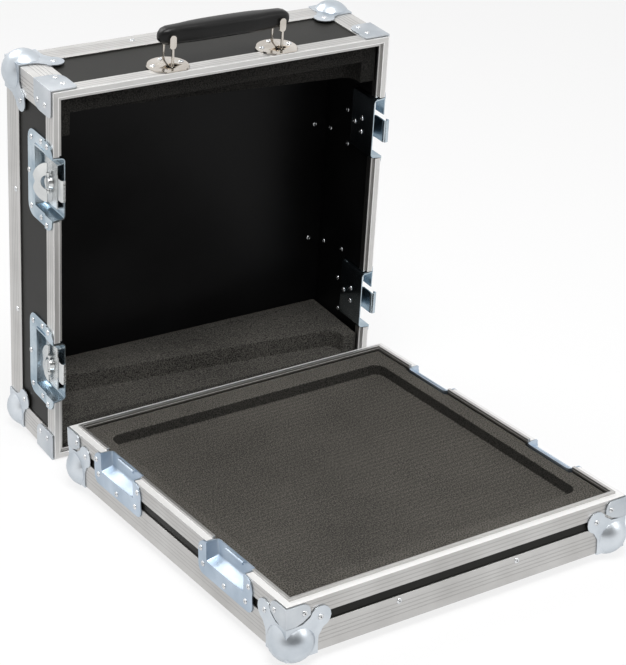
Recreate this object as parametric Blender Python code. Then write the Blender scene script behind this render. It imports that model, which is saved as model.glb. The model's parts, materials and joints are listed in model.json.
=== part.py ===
"""Flight case for a sloping mixer, taken apart: a deep cover standing on its end and a
shallow tray lying in front of it. Plywood walls are edged with aluminium extrusions and
held at the corners by pressed steel ball corners and braces. Two recessed butterfly
latches close the left side, two lift-off hinges the right side.

Each half is modelled in its own frame, in metres:
  cover  x across, y from the closing plane to the back, z from the bottom edge up
  tray   x across, y from the far edge (0) towards the viewer (negative), z up from its base
Everything recessed in a side is modelled in a dish frame: x along the closing edge,
y towards the closing plane (0 there), z out of the case (0 on the extrusions' face).
"""

import math

import bmesh
import bpy
from mathutils import Matrix, Vector

MM = 0.001

# Overall sizes
CASE_WIDTH = 430 * MM
CASE_LENGTH = 460 * MM
COVER_DEPTH = 121 * MM
TRAY_DEPTH = 61 * MM

# Walls and extrusions
PANEL = 7.0 * MM
EXTRUSION_WALL = 1.7 * MM
SEAT_GAP = 0.3 * MM
ANGLE_LEG = 31.5 * MM
RAIL_OUTER_LEG = 18.5 * MM
RAIL_INNER_LEG = 12.0 * MM
RAIL_WEB = 5.0 * MM
RAIL_FACE = 7.2 * MM
RAIL_STEP = 3.3 * MM
RAIL_FIT = 0.4 * MM

# Steel corners
BALL_RADIUS = 24.5 * MM
BALL_INSET = 14.0 * MM
CORNER_SHEET = 1.2 * MM
CORNER_LEG = 36.0 * MM
LOBE_CENTRE = 39.0 * MM
LOBE_RADIUS = 12.5 * MM
BRACE_SHEET = 1.7 * MM
BRACE_LEG = 31.0 * MM
BRACE_FRONT = 3.0 * MM
BRACE_BACK = 45.0 * MM
BRACE_CORNER = 4.0 * MM
TRAY_BRACE_LEG = 27.0 * MM
TRAY_BRACE_TOP_DROP = 1.5 * MM
TRAY_BRACE_SHOULDER = 3.0 * MM
TRAY_BRACE_CORNER = 9.0 * MM

# Recessed dishes
DISH_SHEET = 1.2 * MM
DISH_DEPTH = 13.0 * MM
DISH_MOUTH = 75.0 * MM
DISH_DRAFT = 2.0 * MM
DISH_EDGE = 2.5 * MM
FLANGE_LENGTH = 106.0 * MM
FLANGE_CORNER = 14.0 * MM
LATCH_DISH_BACK = 50.0 * MM
LATCH_FLANGE_BACK = 67.0 * MM
KEEPER_DISH_BACK = 26.0 * MM
KEEPER_DRAFT = 8.0 * MM
KEEPER_FLANGE_BACK = 41.0 * MM
KEEPER_FLANGE_CORNER = 9.0 * MM

# Butterfly latch
SPINDLE_BACK = 23.0 * MM
CRANK_THROW = 4.0 * MM
CRANK_PIN_RADIUS = 3.5 * MM
HOOK_WIDTH = 26.0 * MM
HOOK_SHEET = 1.8 * MM
HOOK_TAIL = 3.5 * MM
HOOK_STEP = 4.1 * MM
HOOK_STEP_SPAN = (-7.4 * MM, -2.0 * MM)
HOOK_BEND = 1.6 * MM
HOOK_NOSE = 2.3 * MM
SLOT_CLEARANCE = 1.1 * MM
BRIDGE_SHEET = 1.5 * MM
BRIDGE_WIDTH = 30.0 * MM
BRIDGE_SPAN = 54.0 * MM
NECK_RADIUS = 5.0 * MM
RUNNING_GAP = 0.3 * MM
CRANK_DISC_RADIUS = 9.0 * MM
CRANK_DISC_HEIGHT = 1.2 * MM
BOSS_RADIUS = 8.0 * MM
BOSS_TOP_RADIUS = 6.2 * MM
BOSS_HEIGHT = 4.6 * MM
BOSS_SLOT_WIDTH = 2.0 * MM
BOSS_SLOT_RISE = 1.6 * MM
WING_HALF_LENGTH = 24.0 * MM
WING_DEPTH = 19.0 * MM
WING_SHEET = 1.6 * MM
WING_WAIST = 9.2 * MM
WING_FOOT = 1.0 * MM
WING_DIP = 3.5 * MM
WING_DIP_WIDTH = 5.0 * MM
WING_RAISED = math.radians(45)
WING_PIN_RADIUS = 1.3 * MM
WING_KNUCKLE_RADIUS = 2.3 * MM
WING_KNUCKLE_LENGTH = 3.0 * MM
WING_KNUCKLE_START = 9.4 * MM
KEEPER_LIP_WIDTH = 34.0 * MM
KEEPER_LIP_CURL = 1.2 * MM

# Lift-off hinge
HINGE_STRAP_WIDTH = 27.5 * MM
HINGE_STRAP_SHEET = 1.6 * MM
HINGE_STRAP_BACK = 46.0 * MM
HINGE_STRAP_BEND = 24.0 * MM
HINGE_STRAP_RISE_END = 8.0 * MM
HINGE_AXIS_BEYOND = 8.5 * MM
HINGE_AXIS_OUT = -1.7 * MM
HINGE_PIN_RADIUS = 1.8 * MM
HINGE_ROLL_START = -90
HINGE_ROLL_END = 150
HINGE_SHUTTER_START = 16.5 * MM

# Handle
HANDLE_CENTRE_X = 5.0 * MM
HANDLE_CENTRE_Y = 21.5 * MM
BASE_RADIUS = 24.5 * MM
BASE_EDGE = 1.0 * MM
BASE_SHEET = 1.5 * MM
BASE_FRONT = 0.8 * MM
BASE_SLOT_WIDTH = 6.0 * MM
ARCH_SPAN = 34.0 * MM
ARCH_SHEET = 1.3 * MM
ARCH_WIDTH = 13.0 * MM
WIRE_RADIUS = 1.7 * MM
BAIL_HEIGHT = 29.0 * MM
BAIL_WIDTH = 22.0 * MM
BAIL_BEND = 2.0 * MM
EYE_WIDTH = 8.0 * MM
EYE_HEIGHT = 16.2 * MM
EYE_SHEET = 2.2 * MM
GRIP_LENGTH = 166.0 * MM
GRIP_END = 13.0 * MM
GRIP_WIDTH = 23.0 * MM
GRIP_HEIGHT = 19.5 * MM
GRIP_EDGE = 6.5 * MM
GRIP_CROWN = 2.2 * MM
GRIP_ABOVE_PIVOT = 4.5 * MM
GRIP_NARROWING = (36.0 * MM, 56.0 * MM)
GRIP_END_START = 0.86
GRIP_END_SPAN = 0.15

# Foam
FOAM_MARGIN = 1.0 * MM
BOTTOM_FOAM = 56.7 * MM
TOP_FOAM = 46.7 * MM
FOAM_FRONT = 8.0 * MM
POCKET_LEFT = -191.0 * MM
POCKET_RIGHT = 184.0 * MM
POCKET_LOW = 43.0 * MM
POCKET_HIGH = 430.0 * MM
POCKET_DEPTH_LEFT = 71.0 * MM
POCKET_DEPTH_RIGHT = 29.0 * MM
POCKET_CORNER = 10.0 * MM
TRAY_FOAM_DROP = 2.5 * MM
RECESS_DEPTH = 13.0 * MM
RECESS_X = (-187.0 * MM, 182.0 * MM)
RECESS_V = (43.0 * MM, 421.0 * MM)
RECESS_CORNER = 12.0 * MM
FOAM_DISH_CLEARANCE = 1.0 * MM

# Stance of the tray in front of the cover
TRAY_OFFSET_X = -5.4 * MM
TRAY_GAP = 50.5 * MM
TRAY_TURN = math.radians(1.63)

# Derived sizes
HALF_WIDTH = CASE_WIDTH / 2
PANEL_INSET = EXTRUSION_WALL + SEAT_GAP
RAIL_THICKNESS = PANEL_INSET + PANEL + SEAT_GAP + EXTRUSION_WALL
PANEL_EDGE = RAIL_WEB + SEAT_GAP
DISH_STATIONS = (CASE_LENGTH / 4, CASE_LENGTH * 3 / 4)
DISH_HALF_OUTSIDE = DISH_MOUTH / 2 + DISH_SHEET
CUT_HALF = DISH_HALF_OUTSIDE + SEAT_GAP
BRACE_OUTSIDE = BRACE_SHEET + SEAT_GAP
BALL_PROUD = BALL_RADIUS - BALL_INSET
DISH_FLOOR = -DISH_DEPTH
HOOK_TOP = DISH_FLOOR + SEAT_GAP + HOOK_SHEET
KEEPER_LIP_BACK = 2 * SEAT_GAP + DISH_SHEET + 2 * KEEPER_LIP_CURL
HOOK_REACH = KEEPER_LIP_BACK + SEAT_GAP + HOOK_SHEET
CRANK_PIN_TOP = HOOK_TOP + SEAT_GAP
BRIDGE_UNDERSIDE = CRANK_PIN_TOP + CRANK_DISC_HEIGHT + SEAT_GAP
BRIDGE_TOP = BRIDGE_UNDERSIDE + BRIDGE_SHEET
FOLD_AXIS = BRIDGE_TOP + SEAT_GAP + WING_KNUCKLE_RADIUS + SEAT_GAP
CRANK_PIN_BACK = SPINDLE_BACK + CRANK_THROW
SWING_AXIS_Z = CASE_LENGTH + 2 * SEAT_GAP + WIRE_RADIUS
HANDLE_PIVOTS_APART = GRIP_LENGTH - 2 * GRIP_END
GRIP_NECK = BAIL_WIDTH - 2 * (WIRE_RADIUS + SEAT_GAP)


# Scene and materials

for old in list(bpy.data.objects):
    bpy.data.objects.remove(old)


def new_collection(name):
    collection = bpy.data.collections.new(name)
    bpy.context.scene.collection.children.link(collection)
    return collection


PARTS = new_collection("mixer_flight_case")
CUTTERS = new_collection("cutters")


def new_material(name, colour, roughness, metallic):
    material = bpy.data.materials.new(name)
    material.use_nodes = True
    shader = material.node_tree.nodes["Principled BSDF"]
    shader.inputs["Base Color"].default_value = (*colour, 1)
    shader.inputs["Roughness"].default_value = roughness
    shader.inputs["Metallic"].default_value = metallic
    return material


LAMINATE = new_material("black_laminate", (0.035, 0.034, 0.034), 0.5, 0.0)
ALUMINIUM = new_material("aluminium_extrusion", (0.62, 0.61, 0.59), 0.38, 1.0)
ZINC = new_material("zinc_plated_steel", (0.55, 0.60, 0.66), 0.3, 1.0)
NICKEL = new_material("nickel_plated_steel", (0.66, 0.62, 0.56), 0.2, 1.0)
GRIP = new_material("moulded_grip", (0.02, 0.02, 0.021), 0.45, 0.0)
FOAM = new_material("packing_foam", (0.075, 0.068, 0.060), 0.95, 0.0)


def empty(name, parent=None, matrix=Matrix()):
    """A frame that carries pieces; it isn't a piece itself."""
    frame = bpy.data.objects.new(name, None)
    CUTTERS.objects.link(frame)
    frame.parent = parent
    frame.matrix_local = matrix
    return frame


def add(name, mesh, holder, material=None, location=(0, 0, 0), smooth=False):
    """A mesh as an object in a frame: a piece where it has a material, else a cutter."""
    piece = bpy.data.objects.new(name, mesh)
    piece.parent = holder
    piece.location = location
    if smooth:
        mesh.shade_smooth()
        mesh.set_sharp_from_angle(angle=math.radians(35))
    if material:
        PARTS.objects.link(piece)
        mesh.materials.clear()
        mesh.materials.append(material)
    else:
        CUTTERS.objects.link(piece)
        piece.hide_render = True
        piece.display_type = "WIRE"
    return piece


def combine(piece, other, operation):
    """A live Boolean of a piece with a cutter or with a shape that it takes in."""
    modifier = piece.modifiers.new(other.name, "BOOLEAN")
    modifier.operation = operation
    modifier.solver = "EXACT"
    modifier.object = other
    return piece


def finished_mesh(piece):
    """The mesh that a piece's modifiers give, in the piece's own frame."""
    bpy.context.view_layer.update()
    evaluated = piece.evaluated_get(bpy.context.evaluated_depsgraph_get())
    return bpy.data.meshes.new_from_object(evaluated)


def frame_matrix(origin, x_axis, y_axis, z_axis):
    turned = Matrix((x_axis, y_axis, z_axis)).transposed().to_4x4()
    return Matrix.Translation(origin) @ turned


# Mesh makers

def mesh_of(name, work):
    """A mesh from a bmesh, with its faces turned outwards."""
    bmesh.ops.recalc_face_normals(work, faces=work.faces)
    mesh = bpy.data.meshes.new(name)
    work.to_mesh(mesh)
    work.free()
    return mesh


def box_mesh(low, high):
    """A box between two corners."""
    work = bmesh.new()
    bmesh.ops.create_cube(work, size=1)
    size = Vector(high) - Vector(low)
    bmesh.ops.scale(work, vec=size, verts=work.verts)
    bmesh.ops.translate(work, vec=(Vector(low) + Vector(high)) / 2, verts=work.verts)
    return mesh_of("box", work)


def box(name, low, high, holder, material=None):
    """A box piece or cutter, with its origin at its middle."""
    middle = (Vector(low) + Vector(high)) / 2
    mesh = box_mesh(Vector(low) - middle, Vector(high) - middle)
    return add(name, mesh, holder, material, middle)


def outline_mesh(points, low, high):
    """A flat outline in x and y, filled and extruded from z = low to z = high."""
    curve = bpy.data.curves.new("outline", "CURVE")
    curve.dimensions = "2D"
    curve.fill_mode = "BOTH"
    curve.extrude = (high - low) / 2
    spline = curve.splines.new("POLY")
    spline.points.add(len(points) - 1)
    for point, place in zip(spline.points, points):
        point.co = (*place, 0, 1)
    spline.use_cyclic_u = True
    drawn = bpy.data.objects.new("outline", curve)
    CUTTERS.objects.link(drawn)
    mesh = finished_mesh(drawn)
    bpy.data.objects.remove(drawn)
    work = bmesh.new()
    work.from_mesh(mesh)
    bpy.data.meshes.remove(mesh)
    bmesh.ops.remove_doubles(work, verts=work.verts, dist=0.00001)
    bmesh.ops.translate(work, vec=(0, 0, (low + high) / 2), verts=work.verts)
    return mesh_of("outline", work)


def turned_mesh(mesh, matrix):
    """The mesh moved by a matrix, with its faces still outwards after a mirroring one."""
    mesh.transform(matrix)
    if matrix.determinant() < 0:
        mesh.flip_normals()
    return mesh


def cylinder_mesh(radius, low, high, sides=24, top_radius=None):
    """A cylinder or cone along z."""
    work = bmesh.new()
    bmesh.ops.create_cone(work, cap_ends=True, segments=sides, radius1=radius,
                          radius2=radius if top_radius is None else top_radius,
                          depth=high - low)
    bmesh.ops.translate(work, vec=(0, 0, (low + high) / 2), verts=work.verts)
    return mesh_of("cylinder", work)


def arc(centre, radius, start, end, steps):
    """Points on an arc, from one angle to another in degrees."""
    points = []
    for step in range(steps + 1):
        angle = math.radians(start + (end - start) * step / steps)
        points.append((centre[0] + radius * math.cos(angle), centre[1] + radius * math.sin(angle)))
    return points


def rounded_rectangle(low, high, radii, steps=4):
    """An outline whose corners, anticlockwise from the lower left, have their own radii."""
    corners = ((low[0], low[1], 180), (high[0], low[1], 270), (high[0], high[1], 0),
               (low[0], high[1], 90))
    points = []
    for (x, y, start), radius in zip(corners, radii):
        inward_x = 1 if x == low[0] else -1
        inward_y = 1 if y == low[1] else -1
        if radius == 0:
            points.append((x, y))
        else:
            centre = (x + inward_x * radius, y + inward_y * radius)
            points += arc(centre, radius, start, start + 90, steps)
    return points


def mitred_frame(profile, width, length):
    """A rectangular frame round the y axis. The profile's points are (inset, y)."""
    reach = min(width, length) / 2
    work = bmesh.new()
    verts = [work.verts.new((reach - inset, y, reach - inset)) for inset, y in profile]
    for vert, following in zip(verts, verts[1:] + verts[:1]):
        work.edges.new((vert, following))
    bmesh.ops.spin(work, geom=work.verts[:] + work.edges[:], cent=(0, 0, 0), axis=(0, 1, 0),
                   angle=math.tau, steps=4, use_merge=True)
    bmesh.ops.remove_doubles(work, verts=work.verts, dist=0.00001)
    for vert in work.verts:
        vert.co.x += math.copysign(width / 2 - reach, vert.co.x)
        vert.co.z += math.copysign(length / 2 - reach, vert.co.z)
    return mesh_of("frame", work)


def ribbon(path, sheet):
    """The outline of a sheet of even thickness that follows a path in x and y."""
    left, right = [], []
    for index, point in enumerate(path):
        before = Vector(path[max(index - 1, 0)])
        after = Vector(path[min(index + 1, len(path) - 1)])
        here = Vector(point)
        into = (here - before).normalized() if index else (after - here).normalized()
        out_of = (after - here).normalized() if index < len(path) - 1 else into
        along = (into + out_of).normalized()
        side = Vector((-along.y, along.x)) * (sheet / 2 / max(along.dot(into), 0.5))
        left.append(tuple(here + side))
        right.append(tuple(here - side))
    return left + right[::-1]


# Frames of the two halves

BALL_FROM_FRONT = COVER_DEPTH - BALL_INSET
LEAN = (math.asin(BALL_RADIUS / math.hypot(BALL_FROM_FRONT - BRACE_FRONT, BALL_INSET + BRACE_OUTSIDE))
        - math.atan2(BALL_INSET + BRACE_OUTSIDE, BALL_FROM_FRONT - BRACE_FRONT))
COVER_RISE = BRACE_OUTSIDE * math.cos(LEAN) - BRACE_FRONT * math.sin(LEAN)

floor_frame = empty("floor_frame")
cover = empty("cover_stance", floor_frame,
              Matrix.Translation((0, 0, COVER_RISE)) @ Matrix.Rotation(LEAN, 4, "X"))
tray = empty("tray_stance", floor_frame,
             Matrix.Translation((TRAY_OFFSET_X, -TRAY_GAP, BALL_PROUD))
             @ Matrix.Rotation(TRAY_TURN, 4, "Z"))

RIGHT, BACK, UP = Vector((1, 0, 0)), Vector((0, 1, 0)), Vector((0, 0, 1))


def dish_frame(name, half, side, station):
    """The frame of a dish in the left (-1) or right (+1) side of a half."""
    if half is cover:
        origin = Vector((side * HALF_WIDTH, 0, station))
        closing = -BACK
    else:
        origin = Vector((side * HALF_WIDTH, -station, TRAY_DEPTH))
        closing = UP
    out = side * RIGHT
    return empty(name, half, frame_matrix(origin, closing.cross(out), closing, out))


dishes = {}
for level, station in zip(("lower", "upper"), DISH_STATIONS):
    dishes[f"{level}_latch"] = dish_frame(f"{level}_latch_frame", cover, -1, station)
    dishes[f"{level}_hinge"] = dish_frame(f"{level}_hinge_frame", cover, 1, station)
for level, station in zip(("far", "near"), DISH_STATIONS):
    dishes[f"{level}_keeper"] = dish_frame(f"{level}_keeper_frame", tray, -1, station)
    dishes[f"{level}_socket"] = dish_frame(f"{level}_socket_frame", tray, 1, station)


# Cover walls

def cover_walls():
    outside_x = HALF_WIDTH - PANEL_INSET
    outside_y = COVER_DEPTH - PANEL_INSET
    inside_y = outside_y - PANEL - SEAT_GAP
    box("back_panel", (-outside_x, outside_y - PANEL, PANEL_INSET),
        (outside_x, outside_y, CASE_LENGTH - PANEL_INSET), cover, LAMINATE)
    low = (-outside_x, PANEL_EDGE, PANEL_INSET)
    high = (outside_x, inside_y, PANEL_INSET + PANEL)
    box("bottom_panel", low, high, cover, LAMINATE)
    lift = CASE_LENGTH - 2 * PANEL_INSET - PANEL
    box("top_panel", (low[0], low[1], low[2] + lift), (high[0], high[1], high[2] + lift),
        cover, LAMINATE)
    for name, side, kind in (("left_side_panel", -1, "latch"), ("right_side_panel", 1, "hinge")):
        edges = sorted((side * outside_x, side * (outside_x - PANEL)))
        panel = box(name, (edges[0], PANEL_EDGE, PANEL_INSET + PANEL + SEAT_GAP),
                    (edges[1], inside_y, CASE_LENGTH - PANEL_INSET - PANEL - SEAT_GAP),
                    cover, LAMINATE)
        for level in ("lower", "upper"):
            opening = box(f"{level}_{kind}_opening",
                          (-CUT_HALF, -LATCH_DISH_BACK - DISH_SHEET - SEAT_GAP, -2 * DISH_DEPTH),
                          (CUT_HALF, PANEL, DISH_DEPTH), dishes[f"{level}_{kind}"])
            combine(panel, opening, "DIFFERENCE")


# Angle extrusions: what is left of a thin shell once its faces are opened

def cover_edge_angles():
    start = RAIL_OUTER_LEG + SEAT_GAP
    cage = box("cover_edge_angles", (-HALF_WIDTH, start, 0), (HALF_WIDTH, COVER_DEPTH, CASE_LENGTH),
               cover, ALUMINIUM)
    inside = HALF_WIDTH - EXTRUSION_WALL
    leg = ANGLE_LEG
    cutters = (
        ("cover_hollow", (-inside, -leg, EXTRUSION_WALL),
         (inside, COVER_DEPTH - EXTRUSION_WALL, CASE_LENGTH - EXTRUSION_WALL)),
        ("back_window", (leg - HALF_WIDTH, 0, leg),
         (HALF_WIDTH - leg, 2 * COVER_DEPTH, CASE_LENGTH - leg)),
        ("side_window", (-CASE_WIDTH, -leg, leg),
         (CASE_WIDTH, COVER_DEPTH - leg, CASE_LENGTH - leg)),
        ("end_window", (leg - HALF_WIDTH, -leg, -leg),
         (HALF_WIDTH - leg, COVER_DEPTH - leg, CASE_LENGTH + leg)),
    )
    for name, low, high in cutters:
        combine(cage, box(name, low, high, cover), "DIFFERENCE")


def tray_edge_angles():
    top = TRAY_DEPTH - RAIL_OUTER_LEG - SEAT_GAP
    cage = box("tray_edge_angles", (-HALF_WIDTH, -CASE_LENGTH, 0), (HALF_WIDTH, 0, top),
               tray, ALUMINIUM)
    inside = HALF_WIDTH - EXTRUSION_WALL
    leg = ANGLE_LEG
    cutters = (
        ("tray_hollow", (-inside, EXTRUSION_WALL - CASE_LENGTH, EXTRUSION_WALL),
         (inside, -EXTRUSION_WALL, TRAY_DEPTH)),
        ("base_window", (leg - HALF_WIDTH, leg - CASE_LENGTH, -leg),
         (HALF_WIDTH - leg, -leg, TRAY_DEPTH)),
        ("tray_side_window", (-CASE_WIDTH, leg - CASE_LENGTH, leg), (CASE_WIDTH, -leg, 2 * TRAY_DEPTH)),
        ("tray_end_window", (leg - HALF_WIDTH, -2 * CASE_LENGTH, leg),
         (HALF_WIDTH - leg, CASE_LENGTH, 2 * TRAY_DEPTH)),
    )
    for name, low, high in cutters:
        combine(cage, box(name, low, high, tray), "DIFFERENCE")


# Closing rails: slotted profiles; the tray's inner lip rises into a step in the cover's

def rail_profile(lipped):
    """Points of the profile as (inset from the outer face, distance behind the closing plane)."""
    slot_out = EXTRUSION_WALL
    slot_in = RAIL_THICKNESS - EXTRUSION_WALL
    face = RAIL_FACE + RAIL_FIT if lipped else RAIL_FACE
    step = RAIL_FIT - RAIL_STEP if lipped else RAIL_STEP
    return [
        (0, 0), (face, 0), (face, step), (RAIL_THICKNESS, step), (RAIL_THICKNESS, RAIL_INNER_LEG),
        (slot_in, RAIL_INNER_LEG), (slot_in, RAIL_WEB), (slot_out, RAIL_WEB),
        (slot_out, RAIL_OUTER_LEG), (0, RAIL_OUTER_LEG),
    ]


def closing_rails(half, names, lipped):
    """One mitred frame, parted at the dishes into two corner lengths and two middles."""
    holder = empty(f"{names[0]}_frame", half)
    if half is cover:
        holder.location = (0, 0, CASE_LENGTH / 2)
    else:
        # The profile runs down from the closing plane, and the frame lies flat
        holder.matrix_local = frame_matrix(Vector((0, -CASE_LENGTH / 2, TRAY_DEPTH)), RIGHT, -UP, BACK)
    far = CASE_LENGTH
    low, high = (station - CASE_LENGTH / 2 for station in DISH_STATIONS)
    if half is tray:
        low, high = -high, -low
    spans = (
        ((-far, high + CUT_HALF), (far, far)),
        ((-far, -far), (far, low - CUT_HALF)),
        ((-far, low + CUT_HALF), (0, high - CUT_HALF)),
        ((0, low + CUT_HALF), (far, high - CUT_HALF)),
    )
    for name, ((x_low, z_low), (x_high, z_high)) in zip(names, spans):
        mesh = mitred_frame(rail_profile(lipped), CASE_WIDTH, CASE_LENGTH)
        rail = add(name, mesh, holder, ALUMINIUM)
        keep = box(f"{name}_span", (x_low, -far, z_low), (x_high, far, z_high), holder)
        combine(rail, keep, "INTERSECT")


# Ball corners and braces, drawn on a corner at the origin with the case at +x, +y, +z

def petal_outline():
    skin = CORNER_SHEET + SEAT_GAP
    lobe = arc((LOBE_CENTRE, LOBE_CENTRE), LOBE_RADIUS, -75, 165, 10)
    rise = [(CORNER_LEG, CORNER_LEG / 4), (CORNER_LEG + 2 * SEAT_GAP, CORNER_LEG / 2)]
    fall = [(y, x) for x, y in reversed(rise)]
    return ([(-skin, -skin), (CORNER_LEG, -skin)] + rise + lobe + fall + [(-skin, CORNER_LEG)])


FACE_TURNS = (
    Matrix.Identity(4),
    frame_matrix(Vector(), BACK, UP, RIGHT),
    frame_matrix(Vector(), UP, RIGHT, BACK),
)


def ball_corner_mesh():
    """A pressed ball with a rounded flange on each of the three faces that it covers."""
    outline = petal_outline()
    skin = CORNER_SHEET + SEAT_GAP
    work = bmesh.new()
    bmesh.ops.create_uvsphere(work, u_segments=24, v_segments=14, radius=BALL_RADIUS)
    bmesh.ops.rotate(work, verts=work.verts, matrix=Matrix.Rotation(math.radians(45), 3, "Z"))
    bmesh.ops.rotate(work, verts=work.verts,
                     matrix=Matrix.Rotation(math.atan(math.sqrt(2)), 3, Vector((-1, 1, 0))))
    bmesh.ops.translate(work, verts=work.verts, vec=(BALL_INSET,) * 3)
    ball = add("corner_pattern", mesh_of("ball", work), None)
    for index, turn in enumerate(FACE_TURNS):
        flange = turned_mesh(outline_mesh(outline, -skin, SEAT_GAP), turn)
        combine(ball, add(f"corner_flange_{index}", flange, None), "UNION")
    block = box("corner_block", (-SEAT_GAP,) * 3, (4 * CORNER_LEG,) * 3, None)
    combine(ball, block, "DIFFERENCE")
    return finished_mesh(ball)


def brace_mesh(outline):
    """A bent plate on the two faces beside an edge along z. The outline's x runs off that edge."""
    skin = BRACE_OUTSIDE
    first = add("brace_pattern", turned_mesh(outline_mesh(outline, -skin, SEAT_GAP),
                                             frame_matrix(Vector(), RIGHT, UP, -BACK)
                                             @ Matrix.Scale(-1, 4, UP)), None)
    second = add("brace_wing", turned_mesh(outline_mesh(outline, -skin, SEAT_GAP),
                                           frame_matrix(Vector(), BACK, UP, RIGHT)), None)
    combine(first, second, "UNION")
    block = box("brace_block", (-SEAT_GAP, -SEAT_GAP, -CASE_LENGTH),
                (CASE_LENGTH, CASE_LENGTH, CASE_LENGTH), None)
    combine(first, block, "DIFFERENCE")
    return finished_mesh(first)


def place_corner(name, pattern, half, corner, x_axis, y_axis, z_axis):
    """A copy of a corner pattern whose axes point into the case at one of its corners."""
    mesh = pattern.copy()
    turned_mesh(mesh, frame_matrix(Vector(), x_axis, y_axis, z_axis))
    return add(name, mesh, half, ZINC, corner, smooth=True)


def steel_corners():
    ball = ball_corner_mesh()
    skin = BRACE_OUTSIDE
    cover_brace = brace_mesh(rounded_rectangle((-skin, BRACE_FRONT), (BRACE_LEG, BRACE_BACK),
                                               (0, BRACE_CORNER, FLANGE_CORNER, 0)))
    top = TRAY_DEPTH - TRAY_BRACE_TOP_DROP
    clear = CORNER_LEG + 2 * SEAT_GAP
    turn = TRAY_BRACE_CORNER
    tray_brace = brace_mesh([(-skin, clear), (CORNER_LEG / 4, clear),
                             (CORNER_LEG / 2, clear + TRAY_BRACE_SHOULDER),
                             (TRAY_BRACE_LEG, clear + 3 * TRAY_BRACE_SHOULDER)]
                            + arc((TRAY_BRACE_LEG - turn, top - turn), turn, 0, 90, 4)
                            + [(-skin, top)])
    for side_name, side in (("left", -1), ("right", 1)):
        inward = -side * RIGHT
        for end_name, level, up in (("bottom", 0, UP), ("top", CASE_LENGTH, -UP)):
            back_corner = (side * HALF_WIDTH, COVER_DEPTH, level)
            place_corner(f"cover_ball_corner_{end_name}_{side_name}", ball, cover, back_corner,
                         inward, -BACK, up)
            place_corner(f"cover_brace_{end_name}_{side_name}", cover_brace, cover,
                         (side * HALF_WIDTH, 0, level), inward, up, BACK)
        for end_name, depth, along in (("far", 0, -BACK), ("near", -CASE_LENGTH, BACK)):
            base_corner = (side * HALF_WIDTH, depth, 0)
            place_corner(f"tray_ball_corner_{end_name}_{side_name}", ball, tray, base_corner,
                         inward, along, UP)
            place_corner(f"tray_brace_{end_name}_{side_name}", tray_brace, tray, base_corner,
                         inward, along, UP)


# Dishes sunk in the sides

def pan_mesh(back, draft, grow):
    """The drafted hollow of a dish, open at the closing plane, or its outside with the sheet."""
    work = bmesh.new()
    bmesh.ops.create_cube(work, size=1)
    half = DISH_MOUTH / 2 + grow
    front = 0 if grow else DISH_MOUTH
    for vert in work.verts:
        deep = vert.co.z < 0
        vert.co.x = math.copysign(half - (DISH_DRAFT if deep else 0), vert.co.x)
        vert.co.y = front if vert.co.y > 0 else -(back + grow - (draft if deep else 0))
        vert.co.z = DISH_FLOOR - grow if deep else (0 if grow else DISH_DEPTH)
    floor_edges = [edge for edge in work.edges if all(vert.co.z < DISH_FLOOR / 2 for vert in edge.verts)
                   and not all(vert.co.y == front for vert in edge.verts)]
    corner_edges = [edge for edge in work.edges if all(vert.co.y < 0 for vert in edge.verts)
                    and edge.verts[0].co.z * edge.verts[1].co.z <= 0]
    bmesh.ops.bevel(work, geom=list(set(floor_edges + corner_edges)), offset=DISH_EDGE + grow,
                    segments=2, profile=0.5, affect="EDGES", material=-1)
    return mesh_of("pan", work)


def dish(name, frame, back, draft, ear_ends=(1, -1)):
    """A pressed dish for the cover: its flange steps up from the panel over the closing rail."""
    on_panel = -PANEL_INSET + SEAT_GAP
    half = FLANGE_LENGTH / 2
    step = RAIL_OUTER_LEG + SEAT_GAP
    outline = rounded_rectangle((-half, -LATCH_FLANGE_BACK), (half, -step),
                                (FLANGE_CORNER, FLANGE_CORNER, 0, 0))
    piece = add(name, outline_mesh(outline, on_panel, on_panel + DISH_SHEET), frame, ZINC)
    over_rail = SEAT_GAP + DISH_SHEET
    riser = box(f"{name}_riser", (-half, -step - DISH_SHEET, on_panel), (half, -step, over_rail), frame)
    combine(piece, riser, "UNION")
    for end in ear_ends:
        ear = rounded_rectangle((0, -step - DISH_SHEET), (half, -2 * SEAT_GAP),
                                (0, 0, FLANGE_CORNER, 0))
        mesh = outline_mesh(ear, SEAT_GAP, over_rail)
        if end < 0:
            turned_mesh(mesh, Matrix.Scale(-1, 4, RIGHT))
        combine(piece, add(f"{name}_ear_{end}", mesh, frame), "UNION")
    sink(name, piece, frame, back, draft)
    return piece


def tray_dish(name, frame):
    """A pressed dish for the tray: its flat flange lies over the closing rail and the angle."""
    half = FLANGE_LENGTH / 2
    corner = KEEPER_FLANGE_CORNER
    outline = rounded_rectangle((-half, -KEEPER_FLANGE_BACK), (half, -2 * SEAT_GAP),
                                (corner, corner, FLANGE_CORNER, FLANGE_CORNER))
    piece = add(name, outline_mesh(outline, SEAT_GAP, SEAT_GAP + DISH_SHEET), frame, ZINC)
    sink(name, piece, frame, KEEPER_DISH_BACK, KEEPER_DRAFT)
    return piece


def sink(name, piece, frame, back, draft):
    """Joins a pan to a dish's flange and hollows it."""
    pan = pan_mesh(back, draft, DISH_SHEET)
    for vert in pan.vertices:
        if vert.co.z == 0:
            vert.co.z = 2 * SEAT_GAP
    combine(piece, add(f"{name}_pan", pan, frame), "UNION")
    combine(piece, add(f"{name}_hollow", pan_mesh(back, draft, 0), frame), "DIFFERENCE")


# Butterfly latch

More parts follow.
